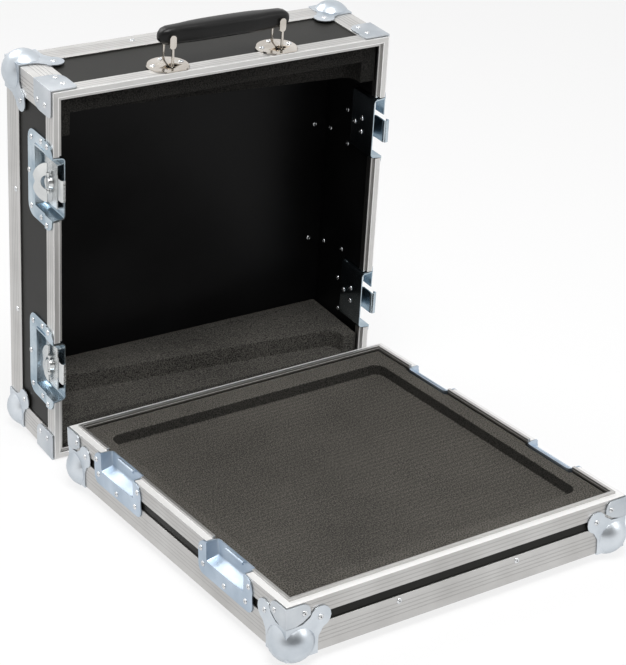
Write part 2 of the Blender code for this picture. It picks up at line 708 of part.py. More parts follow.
def latch_bridge(level, frame):
    """A strap across the dish, standing on two feet, with the spindle's bearing hole."""
    half = BRIDGE_SPAN / 2
    foot = BRIDGE_SHEET
    low, high = DISH_FLOOR + SEAT_GAP, BRIDGE_TOP
    outline = [(-half, low), (-half, high), (half, high), (half, low), (half - foot, low),
               (half - foot, BRIDGE_UNDERSIDE), (foot - half, BRIDGE_UNDERSIDE), (foot - half, low)]
    mesh = outline_mesh(outline, -BRIDGE_WIDTH / 2, BRIDGE_WIDTH / 2)
    turned_mesh(mesh, frame_matrix(Vector((0, -SPINDLE_BACK, 0)), RIGHT, UP, -BACK))
    bridge = add(f"{level}_latch_bridge", mesh, frame, ZINC)
    hole = cylinder_mesh(NECK_RADIUS + RUNNING_GAP, 2 * DISH_FLOOR, DISH_DEPTH)
    combine(bridge, add(f"{level}_bearing_hole", hole, frame, None, (0, -SPINDLE_BACK, 0)),
            "DIFFERENCE")


def latch_hook(level, frame):
    """The sliding hook: flat under the bridge, stepped up in front of it, its nose turned down."""
    low = DISH_FLOOR + SEAT_GAP + HOOK_SHEET / 2
    high = low + HOOK_STEP
    slot_y = CRANK_PIN_RADIUS + SLOT_CLEARANCE
    slot_x = CRANK_THROW + slot_y
    nose = HOOK_REACH - HOOK_SHEET / 2
    path = [(-CRANK_PIN_BACK - slot_y - HOOK_TAIL, low), (HOOK_STEP_SPAN[0], low),
            (HOOK_STEP_SPAN[1], high)]
    path += arc((nose - HOOK_BEND, high - HOOK_BEND), HOOK_BEND, 90, 0, 4)
    path.append((nose, high - HOOK_BEND - HOOK_NOSE))
    mesh = outline_mesh(ribbon(path, HOOK_SHEET), -HOOK_WIDTH / 2, HOOK_WIDTH / 2)
    turned_mesh(mesh, frame_matrix(Vector(), BACK, UP, RIGHT))
    hook = add(f"{level}_latch_hook", mesh, frame, ZINC)
    slot = box(f"{level}_crank_slot", (-slot_x, -CRANK_PIN_BACK - slot_y, 2 * DISH_FLOOR),
               (slot_x, -CRANK_PIN_BACK + slot_y, 0), frame)
    combine(hook, slot, "DIFFERENCE")


def latch_spindle(level, frame):
    """The spindle: crank pin and disc under the bridge, neck in its hole, slotted boss on top."""
    place = (0, -SPINDLE_BACK, 0)
    disc_top = CRANK_PIN_TOP + CRANK_DISC_HEIGHT
    spindle = add(f"{level}_latch_spindle", cylinder_mesh(CRANK_DISC_RADIUS, CRANK_PIN_TOP, disc_top),
                  frame, ZINC, place)
    pin_low = DISH_FLOOR + 2 * SEAT_GAP
    pin = add(f"{level}_crank_pin", cylinder_mesh(CRANK_PIN_RADIUS, pin_low, disc_top - SEAT_GAP, 16),
              frame, None, (0, -CRANK_PIN_BACK, 0))
    neck = add(f"{level}_spindle_neck",
               cylinder_mesh(NECK_RADIUS, CRANK_PIN_TOP + SEAT_GAP, BRIDGE_TOP + WING_SHEET),
               frame, None, place)
    boss_low = BRIDGE_TOP + SEAT_GAP
    boss = add(f"{level}_spindle_boss",
               cylinder_mesh(BOSS_RADIUS, boss_low, boss_low + BOSS_HEIGHT, 24, BOSS_TOP_RADIUS),
               frame, None, place)
    pin_end = WING_KNUCKLE_START + WING_KNUCKLE_LENGTH + RUNNING_GAP
    cross_pin = cylinder_mesh(WING_PIN_RADIUS, -pin_end, pin_end, 12)
    turned_mesh(cross_pin, frame_matrix(Vector((0, 0, FOLD_AXIS)), BACK, UP, RIGHT))
    cross = add(f"{level}_fold_pin", cross_pin, frame, None, place)
    for shape in (pin, neck, boss, cross):
        combine(spindle, shape, "UNION")
    half = BOSS_SLOT_WIDTH / 2
    driver_slot = box(f"{level}_boss_slot", (-BOSS_RADIUS, -SPINDLE_BACK - half, FOLD_AXIS + BOSS_SLOT_RISE),
                      (BOSS_RADIUS, -SPINDLE_BACK + half, DISH_DEPTH), frame)
    combine(spindle, driver_slot, "DIFFERENCE")


def wing_outline():
    """A half moon behind the spindle, dipped in mid rim, with room for the boss at its foot."""
    rim = []
    for x, y in arc((0, 0), WING_HALF_LENGTH, 188, 352, 18):
        dip = WING_DIP * math.exp(-(x / WING_DIP_WIDTH) ** 2)
        rim.append((x, y * WING_DEPTH / WING_HALF_LENGTH + dip))
    room = arc((0, 0), WING_WAIST, 350, 190, 8)
    foot = [(x, min(y, -WING_FOOT)) for x, y in room]
    return [(-WING_HALF_LENGTH, -WING_FOOT)] + rim + [(WING_HALF_LENGTH, -WING_FOOT)] + foot


def latch_wing(level, frame, raised):
    """The butterfly: a plate that folds on the spindle's cross pin and then turns it."""
    mesh = outline_mesh(wing_outline(), -WING_SHEET / 2, WING_SHEET / 2)
    wing = add(f"{level}_latch_wing", mesh, frame, ZINC, (0, -SPINDLE_BACK, FOLD_AXIS))
    half = WING_KNUCKLE_LENGTH / 2
    for side in (-1, 1):
        centre = side * (WING_KNUCKLE_START + half)
        knuckle = cylinder_mesh(WING_KNUCKLE_RADIUS, -half, half, 14)
        turned_mesh(knuckle, frame_matrix(Vector((centre, 0, 0)), BACK, UP, RIGHT))
        sleeve = add(f"{level}_wing_knuckle_{side}", knuckle, frame, None, wing.location)
        combine(wing, sleeve, "UNION")
    bore = cylinder_mesh(WING_PIN_RADIUS + RUNNING_GAP, -WING_HALF_LENGTH, WING_HALF_LENGTH, 12)
    turned_mesh(bore, frame_matrix(Vector(), BACK, UP, RIGHT))
    combine(wing, add(f"{level}_wing_bore", bore, frame, None, wing.location), "DIFFERENCE")
    for turned in [wing] + [modifier.object for modifier in wing.modifiers]:
        turned.rotation_euler.x = -raised


def latches():
    for level in ("lower", "upper"):
        frame = dishes[f"{level}_latch"]
        dish(f"{level}_latch_dish", frame, LATCH_DISH_BACK, DISH_DRAFT)
        latch_bridge(level, frame)
        latch_hook(level, frame)
        latch_spindle(level, frame)
        latch_wing(level, frame, WING_RAISED if level == "upper" else 0)


def keepers():
    """The tray's dishes, each with the curled lip that the hook's nose drops behind."""
    lip_y = -2 * SEAT_GAP - DISH_SHEET / 2
    hook_underside = DISH_FLOOR + SEAT_GAP + HOOK_STEP
    curl_z = hook_underside - SEAT_GAP - DISH_SHEET / 2 - KEEPER_LIP_CURL
    half = KEEPER_LIP_WIDTH / 2
    for level in ("far", "near"):
        frame = dishes[f"{level}_keeper"]
        piece = tray_dish(f"{level}_keeper_dish", frame)
        path = [(lip_y, DISH_FLOOR - DISH_SHEET / 2)]
        path += arc((lip_y - KEEPER_LIP_CURL, curl_z), KEEPER_LIP_CURL, 0, 180, 6)
        mesh = outline_mesh(ribbon(path, DISH_SHEET), -half, half)
        turned_mesh(mesh, frame_matrix(Vector(), BACK, UP, RIGHT))
        combine(piece, add(f"{level}_keeper_lip", mesh, frame), "UNION")


# Lift-off hinges

def hinges():
    for level in ("lower", "upper"):
        frame = dishes[f"{level}_hinge"]
        pan = dish(f"{level}_hinge_dish", frame, LATCH_DISH_BACK, DISH_DRAFT)
        shutter = box(f"{level}_hinge_shutter", (HINGE_SHUTTER_START, -RAIL_OUTER_LEG, SEAT_GAP),
                      (FLANGE_LENGTH / 2 - FLANGE_CORNER, -3 * SEAT_GAP, SEAT_GAP + DISH_SHEET),
                      frame)
        combine(pan, shutter, "UNION")
        low = DISH_FLOOR + SEAT_GAP + HINGE_STRAP_SHEET / 2
        roll = HINGE_PIN_RADIUS + RUNNING_GAP + HINGE_STRAP_SHEET / 2
        path = [(-HINGE_STRAP_BACK, low), (-HINGE_STRAP_BEND, low),
                (-HINGE_STRAP_RISE_END, HINGE_AXIS_OUT - roll)]
        path += arc((HINGE_AXIS_BEYOND, HINGE_AXIS_OUT), roll, HINGE_ROLL_START, HINGE_ROLL_END, 14)
        half = HINGE_STRAP_WIDTH / 2
        mesh = outline_mesh(ribbon(path, HINGE_STRAP_SHEET), -half, half)
        turned_mesh(mesh, frame_matrix(Vector(), BACK, UP, RIGHT))
        add(f"{level}_hinge_strap", mesh, frame, ZINC)
    for level in ("far", "near"):
        frame = dishes[f"{level}_socket"]
        socket = tray_dish(f"{level}_hinge_socket", frame)
        reach = DISH_MOUTH / 2 + DISH_SHEET / 2
        cheek_half = 2 * HINGE_PIN_RADIUS
        cheek_top = HINGE_AXIS_OUT + HINGE_PIN_RADIUS + DISH_SHEET
        rod = cylinder_mesh(HINGE_PIN_RADIUS, -reach, reach, 16)
        turned_mesh(rod, frame_matrix(Vector((0, -HINGE_AXIS_BEYOND, HINGE_AXIS_OUT)), BACK, UP, RIGHT))
        for end in (-1, 1):
            x = sorted((end * reach, end * (reach - 2 * DISH_SHEET)))
            cheek = box(f"{level}_socket_cheek_{end}",
                        (x[0], -HINGE_AXIS_BEYOND - cheek_half, -DISH_DEPTH / 2),
                        (x[1], -HINGE_AXIS_BEYOND + cheek_half, cheek_top), frame)
            combine(socket, cheek, "UNION")
        combine(socket, add(f"{level}_socket_pin", rod, frame), "UNION")


# Carrying handle

def handle():
    """Two pressed base discs with a strap over each bail's foot, the bails and the grip."""
    span = ARCH_SPAN / 2
    wire_room = WIRE_RADIUS + SEAT_GAP
    crest = 2 * wire_room + ARCH_SHEET / 2
    foot = BASE_SHEET / 2
    path = []
    for step in range(17):
        share = step / 8 - 1
        path.append((span * share, foot + (crest - foot) * (1 + math.cos(math.pi * share)) / 2))
    slot_x, slot_y = BASE_SLOT_WIDTH / 2, BAIL_WIDTH / 2 + wire_room + SEAT_GAP
    for name, side in (("left", -1), ("right", 1)):
        x = HANDLE_CENTRE_X + side * HANDLE_PIVOTS_APART / 2
        place = (x, HANDLE_CENTRE_Y, CASE_LENGTH + SEAT_GAP)
        disc = cylinder_mesh(BASE_RADIUS, 0, BASE_SHEET, 36, BASE_RADIUS - BASE_EDGE)
        plate = add(f"handle_base_{name}", disc, cover, NICKEL, place, smooth=True)
        slot = add(f"handle_slot_{name}",
                   box_mesh((-slot_x, -slot_y, -BASE_SHEET), (slot_x, slot_y, 2 * BASE_SHEET)),
                   cover, None, place)
        combine(plate, slot, "DIFFERENCE")
        trim = add(f"handle_trim_{name}",
                   box_mesh((-CASE_WIDTH, -CASE_WIDTH, -BASE_SHEET),
                            (CASE_WIDTH, BASE_FRONT - HANDLE_CENTRE_Y, 2 * BASE_SHEET)),
                   cover, None, place)
        combine(plate, trim, "DIFFERENCE")
        strap = outline_mesh(ribbon(path, ARCH_SHEET), -ARCH_WIDTH / 2, ARCH_WIDTH / 2)
        turned_mesh(strap, frame_matrix(Vector(), RIGHT, UP, -BACK))
        combine(plate, add(f"handle_strap_{name}", strap, cover, None, place), "UNION")
        bail(name, x)
    grip()


def bail(name, x):
    """A wire loop: its foot turns under the base's strap, its flattened ends carry the grip."""
    half = BAIL_WIDTH / 2
    loop = rounded_rectangle((-half, 0), (half, BAIL_HEIGHT), (BAIL_BEND,) * 4)
    curve = bpy.data.curves.new(f"bail_{name}", "CURVE")
    curve.dimensions = "3D"
    curve.bevel_depth = WIRE_RADIUS
    curve.bevel_resolution = 2
    spline = curve.splines.new("POLY")
    spline.points.add(len(loop) - 1)
    for point, (y, z) in zip(spline.points, loop):
        point.co = (0, y, z, 1)
    spline.use_cyclic_u = True
    drawn = bpy.data.objects.new(f"bail_curve_{name}", curve)
    CUTTERS.objects.link(drawn)
    mesh = finished_mesh(drawn)
    bpy.data.objects.remove(drawn)
    wire = add(f"handle_bail_{name}", mesh, cover, NICKEL,
               (x, HANDLE_CENTRE_Y, SWING_AXIS_Z), smooth=True)
    wide, tall = EYE_WIDTH / 2, EYE_HEIGHT / 2
    for side in (-1, 1):
        place = (x, HANDLE_CENTRE_Y + side * half, SWING_AXIS_Z + BAIL_HEIGHT)
        paddle = rounded_rectangle((-wide, -tall), (wide, tall), (wide,) * 4)
        eye = outline_mesh(paddle, -EYE_SHEET / 2, EYE_SHEET / 2)
        turned_mesh(eye, frame_matrix(Vector(), RIGHT, UP, -BACK))
        combine(wire, add(f"bail_eye_{name}_{side}", eye, cover, None, place), "UNION")
        flat = sorted((side * EYE_SHEET / 2, side * BASE_RADIUS))
        press = box_mesh((-wide, flat[0], -tall), (wide, flat[1], tall))
        combine(wire, add(f"bail_press_{name}_{side}", press, cover, None, place), "DIFFERENCE")


def grip():
    """The moulded grip: a crowned bar, narrowed and rounded at its ends, bored for the bails."""
    half = GRIP_LENGTH / 2
    pivot = HANDLE_PIVOTS_APART / 2
    work = bmesh.new()
    bmesh.ops.create_cube(work, size=1)
    bmesh.ops.scale(work, vec=(GRIP_LENGTH, GRIP_WIDTH, GRIP_HEIGHT), verts=work.verts)
    for operation in ("bevel", "subdivide"):
        long_edges = [edge for edge in work.edges
                      if abs(edge.verts[0].co.x - edge.verts[1].co.x) > half]
        if operation == "bevel":
            bmesh.ops.bevel(work, geom=long_edges, offset=GRIP_EDGE, segments=3, profile=0.5,
                            affect="EDGES", material=-1)
        else:
            bmesh.ops.subdivide_edges(work, edges=long_edges, cuts=17, use_grid_fill=True)
    for vert in work.verts:
        # Sections stand closer together towards the ends
        vert.co.x = half * math.sin(math.pi / 2 * vert.co.x / half)
        share = abs(vert.co.x) / half
        taper = math.sqrt(1 - (max(0, share - GRIP_END_START) / GRIP_END_SPAN) ** 2)
        narrowed = (abs(vert.co.x) - GRIP_NARROWING[0]) / (GRIP_NARROWING[1] - GRIP_NARROWING[0])
        narrowed = min(max(narrowed, 0), 1)
        crown = GRIP_CROWN * (1 - share ** 2) if vert.co.z > 0 else 0
        vert.co.y *= taper * (1 + (GRIP_NECK / GRIP_WIDTH - 1) * narrowed ** 2 * (3 - 2 * narrowed))
        vert.co.z = vert.co.z * taper + crown + GRIP_ABOVE_PIVOT
    bmesh.ops.translate(work, vec=(pivot, 0, 0), verts=work.verts)
    left_pivot = (HANDLE_CENTRE_X - pivot, HANDLE_CENTRE_Y, SWING_AXIS_Z + BAIL_HEIGHT)
    bar = add("handle_grip", mesh_of("grip", work), cover, GRIP, left_pivot, smooth=True)
    for name, side in (("left", -1), ("right", 1)):
        hole = cylinder_mesh(WIRE_RADIUS + RUNNING_GAP, -BASE_RADIUS, BASE_RADIUS, 16)
        turned_mesh(hole, Matrix.Rotation(math.radians(90), 4, "X"))
        place = (HANDLE_CENTRE_X + side * pivot, HANDLE_CENTRE_Y, SWING_AXIS_Z + BAIL_HEIGHT)
        combine(bar, add(f"grip_bore_{name}", hole, cover, None, place), "DIFFERENCE")


# Tray walls

def tray_walls():
    outside_x = HALF_WIDTH - PANEL_INSET
    floor_top = PANEL_INSET + PANEL
    box("tray_base_panel", (-outside_x, PANEL_INSET - CASE_LENGTH, PANEL_INSET),
        (outside_x, -PANEL_INSET, floor_top), tray, LAMINATE)
    wall_low, wall_high = floor_top + SEAT_GAP, TRAY_DEPTH - PANEL_EDGE
    profile = [(PANEL_INSET, wall_low), (PANEL_INSET + PANEL, wall_low),
               (PANEL_INSET + PANEL, wall_high), (PANEL_INSET, wall_high)]
    holder = empty("tray_wall_frame", tray,
                   frame_matrix(Vector((0, -CASE_LENGTH / 2, 0)), RIGHT, UP, -BACK))
    walls = add("tray_walls", mitred_frame(profile, CASE_WIDTH, CASE_LENGTH), holder, LAMINATE)
    for level in ("far", "near"):
        for kind in ("keeper", "socket"):
            opening = box(f"{level}_{kind}_opening",
                          (-CUT_HALF, -KEEPER_DISH_BACK - DISH_SHEET - SEAT_GAP, -2 * DISH_DEPTH),
                          (CUT_HALF, PANEL, DISH_DEPTH), dishes[f"{level}_{kind}"])
            combine(walls, opening, "DIFFERENCE")


# Foam

def cover_foams():
    side = HALF_WIDTH - RAIL_THICKNESS - FOAM_MARGIN
    back = COVER_DEPTH - PANEL_INSET - PANEL - FOAM_MARGIN
    floor_z = PANEL_INSET + PANEL + SEAT_GAP
    blocks = (
        ("bottom_foam", floor_z, floor_z + BOTTOM_FOAM, POCKET_LOW, CASE_LENGTH, 0),
        ("top_foam", CASE_LENGTH - floor_z - TOP_FOAM, CASE_LENGTH - floor_z, 0, POCKET_HIGH,
         CASE_LENGTH),
    )
    for name, low, high, pocket_low, pocket_high, rail_z in blocks:
        foam = box(name, (-side, FOAM_FRONT, low), (side, back, high), cover, FOAM)
        rail_room = RAIL_THICKNESS + SEAT_GAP
        rebate = box(f"{name}_rebate", (-CASE_WIDTH, -rail_room, rail_z - rail_room),
                     (CASE_WIDTH, RAIL_INNER_LEG + SEAT_GAP, rail_z + rail_room), cover)
        combine(foam, rebate, "DIFFERENCE")
        slope = (POCKET_DEPTH_RIGHT - POCKET_DEPTH_LEFT) / (POCKET_RIGHT - POCKET_LEFT)
        turn = POCKET_CORNER
        outline = [(POCKET_LEFT, -POCKET_DEPTH_LEFT), (POCKET_RIGHT, -POCKET_DEPTH_LEFT),
                   (POCKET_RIGHT, POCKET_DEPTH_RIGHT - turn),
                   (POCKET_RIGHT - turn / 3, POCKET_DEPTH_RIGHT - turn / 3),
                   (POCKET_RIGHT - turn, POCKET_DEPTH_RIGHT - slope * turn),
                   (POCKET_LEFT + turn, POCKET_DEPTH_LEFT + slope * turn),
                   (POCKET_LEFT + turn / 3, POCKET_DEPTH_LEFT - turn / 3),
                   (POCKET_LEFT, POCKET_DEPTH_LEFT - turn)]
        pocket = add(f"{name}_pocket", outline_mesh(outline, pocket_low, pocket_high), cover)
        combine(foam, pocket, "DIFFERENCE")


def tray_foam():
    side = HALF_WIDTH - RAIL_THICKNESS - FOAM_MARGIN
    end = RAIL_THICKNESS + FOAM_MARGIN
    low, high = PANEL_INSET + PANEL + SEAT_GAP, TRAY_DEPTH - TRAY_FOAM_DROP
    foam = box("tray_foam", (-side, end - CASE_LENGTH, low), (side, -end, high), tray, FOAM)
    outline = rounded_rectangle((RECESS_X[0], -RECESS_V[1]), (RECESS_X[1], -RECESS_V[0]),
                                (RECESS_CORNER,) * 4)
    recess = add("tray_recess", outline_mesh(outline, high - RECESS_DEPTH, 2 * TRAY_DEPTH), tray)
    combine(foam, recess, "DIFFERENCE")
    for level in ("far", "near"):
        for kind in ("keeper", "socket"):
            reach = DISH_HALF_OUTSIDE + FOAM_DISH_CLEARANCE
            outline = rounded_rectangle((-reach, -KEEPER_DISH_BACK - DISH_SHEET - FOAM_DISH_CLEARANCE),
                                        (reach, TRAY_DEPTH), (0, 0, 0, 0))
            mesh = outline_mesh(outline, DISH_FLOOR - DISH_SHEET - FOAM_DISH_CLEARANCE, DISH_DEPTH)
            notch = add(f"{level}_{kind}_notch", mesh, dishes[f"{level}_{kind}"])
            combine(foam, notch, "DIFFERENCE")


# Assembly

cover_walls()
cover_edge_angles()
closing_rails(cover, ("cover_top_rail", "cover_bottom_rail", "cover_left_rail", "cover_right_rail"), False)
tray_walls()
tray_edge_angles()
closing_rails(tray, ("tray_far_rail", "tray_near_rail", "tray_left_rail", "tray_right_rail"), True)
steel_corners()
latches()
keepers()
hinges()
handle()
cover_foams()
tray_foam()


# Origin: the middle of the case's outline on the floor

bpy.context.view_layer.update()
graph = bpy.context.evaluated_depsgraph_get()
corners = [piece.matrix_world @ vert.co
           for piece in PARTS.objects for vert in piece.evaluated_get(graph).data.vertices]
low = [min(corner[axis] for corner in corners) for axis in range(3)]
high = [max(corner[axis] for corner in corners) for axis in range(3)]
floor_frame.location = (-(low[0] + high[0]) / 2, -(low[1] + high[1]) / 2, -low[2])
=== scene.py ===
"""Looks for the mixer flight case: materials, rivets and soft foam round the fixed CAD frame."""

import json
import math

import bmesh
import bpy
from mathutils import Matrix, Vector
from mathutils.bvhtree import BVHTree

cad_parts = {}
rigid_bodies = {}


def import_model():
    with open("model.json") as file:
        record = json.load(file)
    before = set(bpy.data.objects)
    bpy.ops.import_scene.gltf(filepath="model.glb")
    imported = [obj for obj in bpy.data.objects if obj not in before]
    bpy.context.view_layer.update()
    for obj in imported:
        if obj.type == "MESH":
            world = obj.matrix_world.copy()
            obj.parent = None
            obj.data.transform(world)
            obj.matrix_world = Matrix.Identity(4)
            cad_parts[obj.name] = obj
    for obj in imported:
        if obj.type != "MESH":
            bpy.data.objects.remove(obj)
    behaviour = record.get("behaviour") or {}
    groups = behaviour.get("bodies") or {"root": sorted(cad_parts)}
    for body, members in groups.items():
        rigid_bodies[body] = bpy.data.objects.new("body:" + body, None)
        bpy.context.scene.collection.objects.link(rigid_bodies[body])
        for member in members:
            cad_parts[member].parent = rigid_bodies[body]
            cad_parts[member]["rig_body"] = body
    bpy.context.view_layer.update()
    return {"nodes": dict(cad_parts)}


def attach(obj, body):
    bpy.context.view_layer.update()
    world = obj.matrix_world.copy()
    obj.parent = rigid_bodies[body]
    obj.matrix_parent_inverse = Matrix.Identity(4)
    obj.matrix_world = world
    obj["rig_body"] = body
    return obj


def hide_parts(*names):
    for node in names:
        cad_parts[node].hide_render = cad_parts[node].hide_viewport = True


for old in list(bpy.data.objects):
    bpy.data.objects.remove(old)
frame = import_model()
nodes = frame["nodes"]
scene = bpy.context.scene
scene.view_settings.view_transform = "Standard"


# Camera: at the photograph's viewing angle, fitted to the straight edges of both halves

CAMERA_PLACE = (-1.1206, -1.83964, 1.16822)
CAMERA_RIGHT = Vector((0.8533, -0.52134, 0.00983))
CAMERA_FORWARD = Vector((0.47844, 0.77531, -0.41229))
CAMERA_LENS = 115.3

camera = bpy.data.objects.new("camera", bpy.data.cameras.new("camera"))
scene.collection.objects.link(camera)
scene.camera = camera
camera.data.sensor_width = 36
camera.data.lens = CAMERA_LENS
camera.data.clip_end = 50
camera_axes = Matrix((CAMERA_RIGHT, CAMERA_RIGHT.cross(CAMERA_FORWARD), -CAMERA_FORWARD))
camera.matrix_world = Matrix.Translation(CAMERA_PLACE) @ camera_axes.transposed().to_4x4()


# Floor: a plain pale sheet that keeps the case's shadow. Camera, gloss and clear rays see it mostly
# as its own even white, and the rest of it is matt and lit by the lamps.

FLOOR_HALF = 6
FLOOR_GREY = (0.93, 0.93, 0.93, 1)
FLOOR_ROUGHNESS = 0.6
FLOOR_OWN_WHITE = 0.80


def shader_tree(name):
    material = bpy.data.materials.new(name)
    material.use_nodes = True
    tree = material.node_tree
    return material, tree, tree.nodes["Principled BSDF"]


def math_node(tree, operation, first, second=None):
    node = tree.nodes.new("ShaderNodeMath")
    node.operation = operation
    for index, value in enumerate((first, second)):
        if value is None:
            continue
        if isinstance(value, (int, float)):
            node.inputs[index].default_value = value
        else:
            tree.links.new(value, node.inputs[index])
    return node.outputs["Value"]


def seen_rays(tree, path):
    """1 for the rays of the camera, of gloss and of clear pieces, which see the room white."""
    seen = math_node(tree, "MAXIMUM", path.outputs["Is Camera Ray"], path.outputs["Is Glossy Ray"])
    return math_node(tree, "MAXIMUM", seen, path.outputs["Is Transmission Ray"])


def mixed_shader(tree, share, first, second):
    mix = tree.nodes.new("ShaderNodeMixShader")
    tree.links.new(share, mix.inputs["Fac"])
    tree.links.new(first, mix.inputs[1])
    tree.links.new(second, mix.inputs[2])
    return mix.outputs["Shader"]


def floor():
    work = bmesh.new()
    bmesh.ops.create_grid(work, x_segments=1, y_segments=1, size=FLOOR_HALF)
    mesh = bpy.data.meshes.new("floor")
    work.to_mesh(mesh)
    work.free()
    plane = bpy.data.objects.new("floor", mesh)
    scene.collection.objects.link(plane)
    material, tree, shader = shader_tree("floor")
    shader.inputs["Base Color"].default_value = FLOOR_GREY
    shader.inputs["Roughness"].default_value = FLOOR_ROUGHNESS
    white = tree.nodes.new("ShaderNodeEmission")
    path = tree.nodes.new("ShaderNodeLightPath")
    share = math_node(tree, "MULTIPLY", seen_rays(tree, path), FLOOR_OWN_WHITE)
    surface = mixed_shader(tree, share, shader.outputs["BSDF"], white.outputs["Emission"])
    tree.links.new(surface, tree.nodes["Material Output"].inputs["Surface"])
    mesh.materials.append(material)


floor()


# Room: white to the camera. What metal and gloss see of it darkens towards the front of the case,
# which gives bright plate its dark parts. As a light on the case it is a weak and even fill.

ROOM_FILL = 0.26
ROOM_DARK_WAY = (-0.35, -0.90, 0.25)
ROOM_DARK_FROM = 0.35
ROOM_DARK_FULL = 0.95
ROOM_DARK_LEVEL = 0.25


def map_range(tree, source, start, end, low, high, smooth=False):
    node = tree.nodes.new("ShaderNodeMapRange")
    if smooth:
        node.interpolation_type = "SMOOTHSTEP"
    node.inputs["From Min"].default_value = start
    node.inputs["From Max"].default_value = end
    node.inputs["To Min"].default_value = low
    node.inputs["To Max"].default_value = high
    tree.links.new(source, node.inputs["Value"])
    return node.outputs["Result"]


def room():
    world = bpy.data.worlds.new("room")
    scene.world = world
    world.use_nodes = True
    tree = world.node_tree
    fill = tree.nodes["Background"]
    fill.inputs["Color"].default_value = (1, 1, 1, 1)
    fill.inputs["Strength"].default_value = ROOM_FILL
    seen = tree.nodes.new("ShaderNodeBackground")
    seen.inputs["Color"].default_value = (1, 1, 1, 1)
    path = tree.nodes.new("ShaderNodeLightPath")
    way = tree.nodes.new("ShaderNodeTexCoord")
    towards = tree.nodes.new("ShaderNodeVectorMath")
    towards.operation = "DOT_PRODUCT"
    towards.inputs[1].default_value = ROOM_DARK_WAY
    tree.links.new(way.outputs["Generated"], towards.inputs[0])
    level = map_range(tree, towards.outputs["Value"], ROOM_DARK_FROM, ROOM_DARK_FULL,
                      1.0, ROOM_DARK_LEVEL, smooth=True)
    level = math_node(tree, "MAXIMUM", level, path.outputs["Is Camera Ray"])
    tree.links.new(level, seen.inputs["Strength"])
    surface = mixed_shader(tree, seen_rays(tree, path),
                           fill.outputs["Background"], seen.outputs["Background"])
    tree.links.new(surface, tree.nodes["World Output"].inputs["Surface"])


room()


# Lamps: a broad soft one over the front, a weaker one behind and a faint one at the front right

def lamp(name, place, target, size, power):
    data = bpy.data.lights.new(name, "AREA")
    data.shape = "DISK"
    data.size = size
    data.energy = power
    light = bpy.data.objects.new(name, data)
    light.location = place
    light.rotation_mode = "QUATERNION"
    light.rotation_quaternion = (Vector(target) - Vector(place)).to_track_quat("-Z", "Y")
    scene.collection.objects.link(light)


lamp("key", place=(-0.35, -0.75, 2.6), target=(0, -0.05, 0.1), size=1.5, power=58)
lamp("back", place=(-0.5, 1.7, 2.0), target=(0, 0, 0.2), size=1.2, power=16)
lamp("fill", place=(1.6, -1.6, 1.4), target=(0, 0, 0.15), size=1.2, power=6)


# Panels of both halves: thin boards faced with satin black laminate, very finely pebbled outside
# and with a smoother film inside the cover, whose blacker colour is painted shade of the cover's
# inside. Their edges sit in the extrusions.

COVER = Matrix.Translation((-0.0011423, 0.1982851, 0.0017465)) @ Matrix.Rotation(0.082345, 4, "X")
INSIDE_HALF_WIDTH = 0.208
INSIDE_DEPTH = 0.114
INSIDE_LENGTH = (0.0075, 0.4525)
CLOUD_SPAN = (0.3, 0.7)
PEBBLE_SCALE = 1400
SHEEN_CLOUD_SCALE = 12
LAMINATE_COLOURS = (0.0100, 0.0098, 0.0085), (0.0165, 0.0160, 0.0140)
LAMINATE_SPECULAR = 0.15
# Painted shade: the inner film's colours are darker than the laminate's, for the shade inside the
# cover
FILM_PAINTED_SHADE_COLOURS = (0.0030, 0.0030, 0.0032), (0.0055, 0.0055, 0.0058)
FILM_SPECULAR = 0.12


def group(name, inputs, output):
    """A shader group of named numbers in and one named number out, with its two end nodes."""
    tree = bpy.data.node_groups.new(name, "ShaderNodeTree")
    for socket, default in inputs:
        made = tree.interface.new_socket(socket, in_out="INPUT", socket_type="NodeSocketFloat")
        made.default_value = default
    tree.interface.new_socket(output, in_out="OUTPUT", socket_type="NodeSocketFloat")
    return tree, tree.nodes.new("NodeGroupInput"), tree.nodes.new("NodeGroupOutput")


def placed_group(tree, made, values):
    """The group in a material's tree, with each input's number set or its source linked."""
    node = tree.nodes.new("ShaderNodeGroup")
    node.node_tree = made
    for socket, value in values.items():
        if isinstance(value, (int, float)):
            node.inputs[socket].default_value = value
        else:
            tree.links.new(value, node.inputs[socket])
    return node.outputs[0]


def speckle_group():
    """A fine, even unevenness on the object's own coordinates, of 0 to 1."""
    tree, start, end = group("speckle", [("Scale", 400.0), ("Detail", 3.0)], "Value")
    place = tree.nodes.new("ShaderNodeTexCoord")
    grain = tree.nodes.new("ShaderNodeTexNoise")
    tree.links.new(place.outputs["Object"], grain.inputs["Vector"])
    tree.links.new(start.outputs["Scale"], grain.inputs["Scale"])
    tree.links.new(start.outputs["Detail"], grain.inputs["Detail"])
    tree.links.new(grain.outputs["Fac"], end.inputs["Value"])
    return tree


SPECKLE = speckle_group()


def speckle(tree, scale, detail):
    return placed_group(tree, SPECKLE, {"Scale": scale, "Detail": detail})


def ramp(tree, source, start, end, low, high):
    """Colour from low to high, as the source goes from start to end."""
    node = tree.nodes.new("ShaderNodeValToRGB")
    for element, position, colour in zip(node.color_ramp.elements, (start, end), (low, high)):
        element.position = position
        element.color = (*colour, 1)
    tree.links.new(source, node.inputs["Fac"])
    return node.outputs["Color"]


def roughness(tree, shader, source, low, high):
    tree.links.new(map_range(tree, source, 0, 1, low, high), shader.inputs["Roughness"])


def bump(tree, shader, height, strength, distance, edge=None):
    """Surface height as a bump; edge is the radius of the catch of light along sharp edges."""
    node = tree.nodes.new("ShaderNodeBump")
    node.inputs["Strength"].default_value = strength
    node.inputs["Distance"].default_value = distance
    if edge is not None:
        rounded = tree.nodes.new("ShaderNodeBevel")
        rounded.samples = 6
        rounded.inputs["Radius"].default_value = edge
        tree.links.new(rounded.outputs["Normal"], node.inputs["Normal"])
    tree.links.new(height, node.inputs["Height"])
    tree.links.new(node.outputs["Normal"], shader.inputs["Normal"])


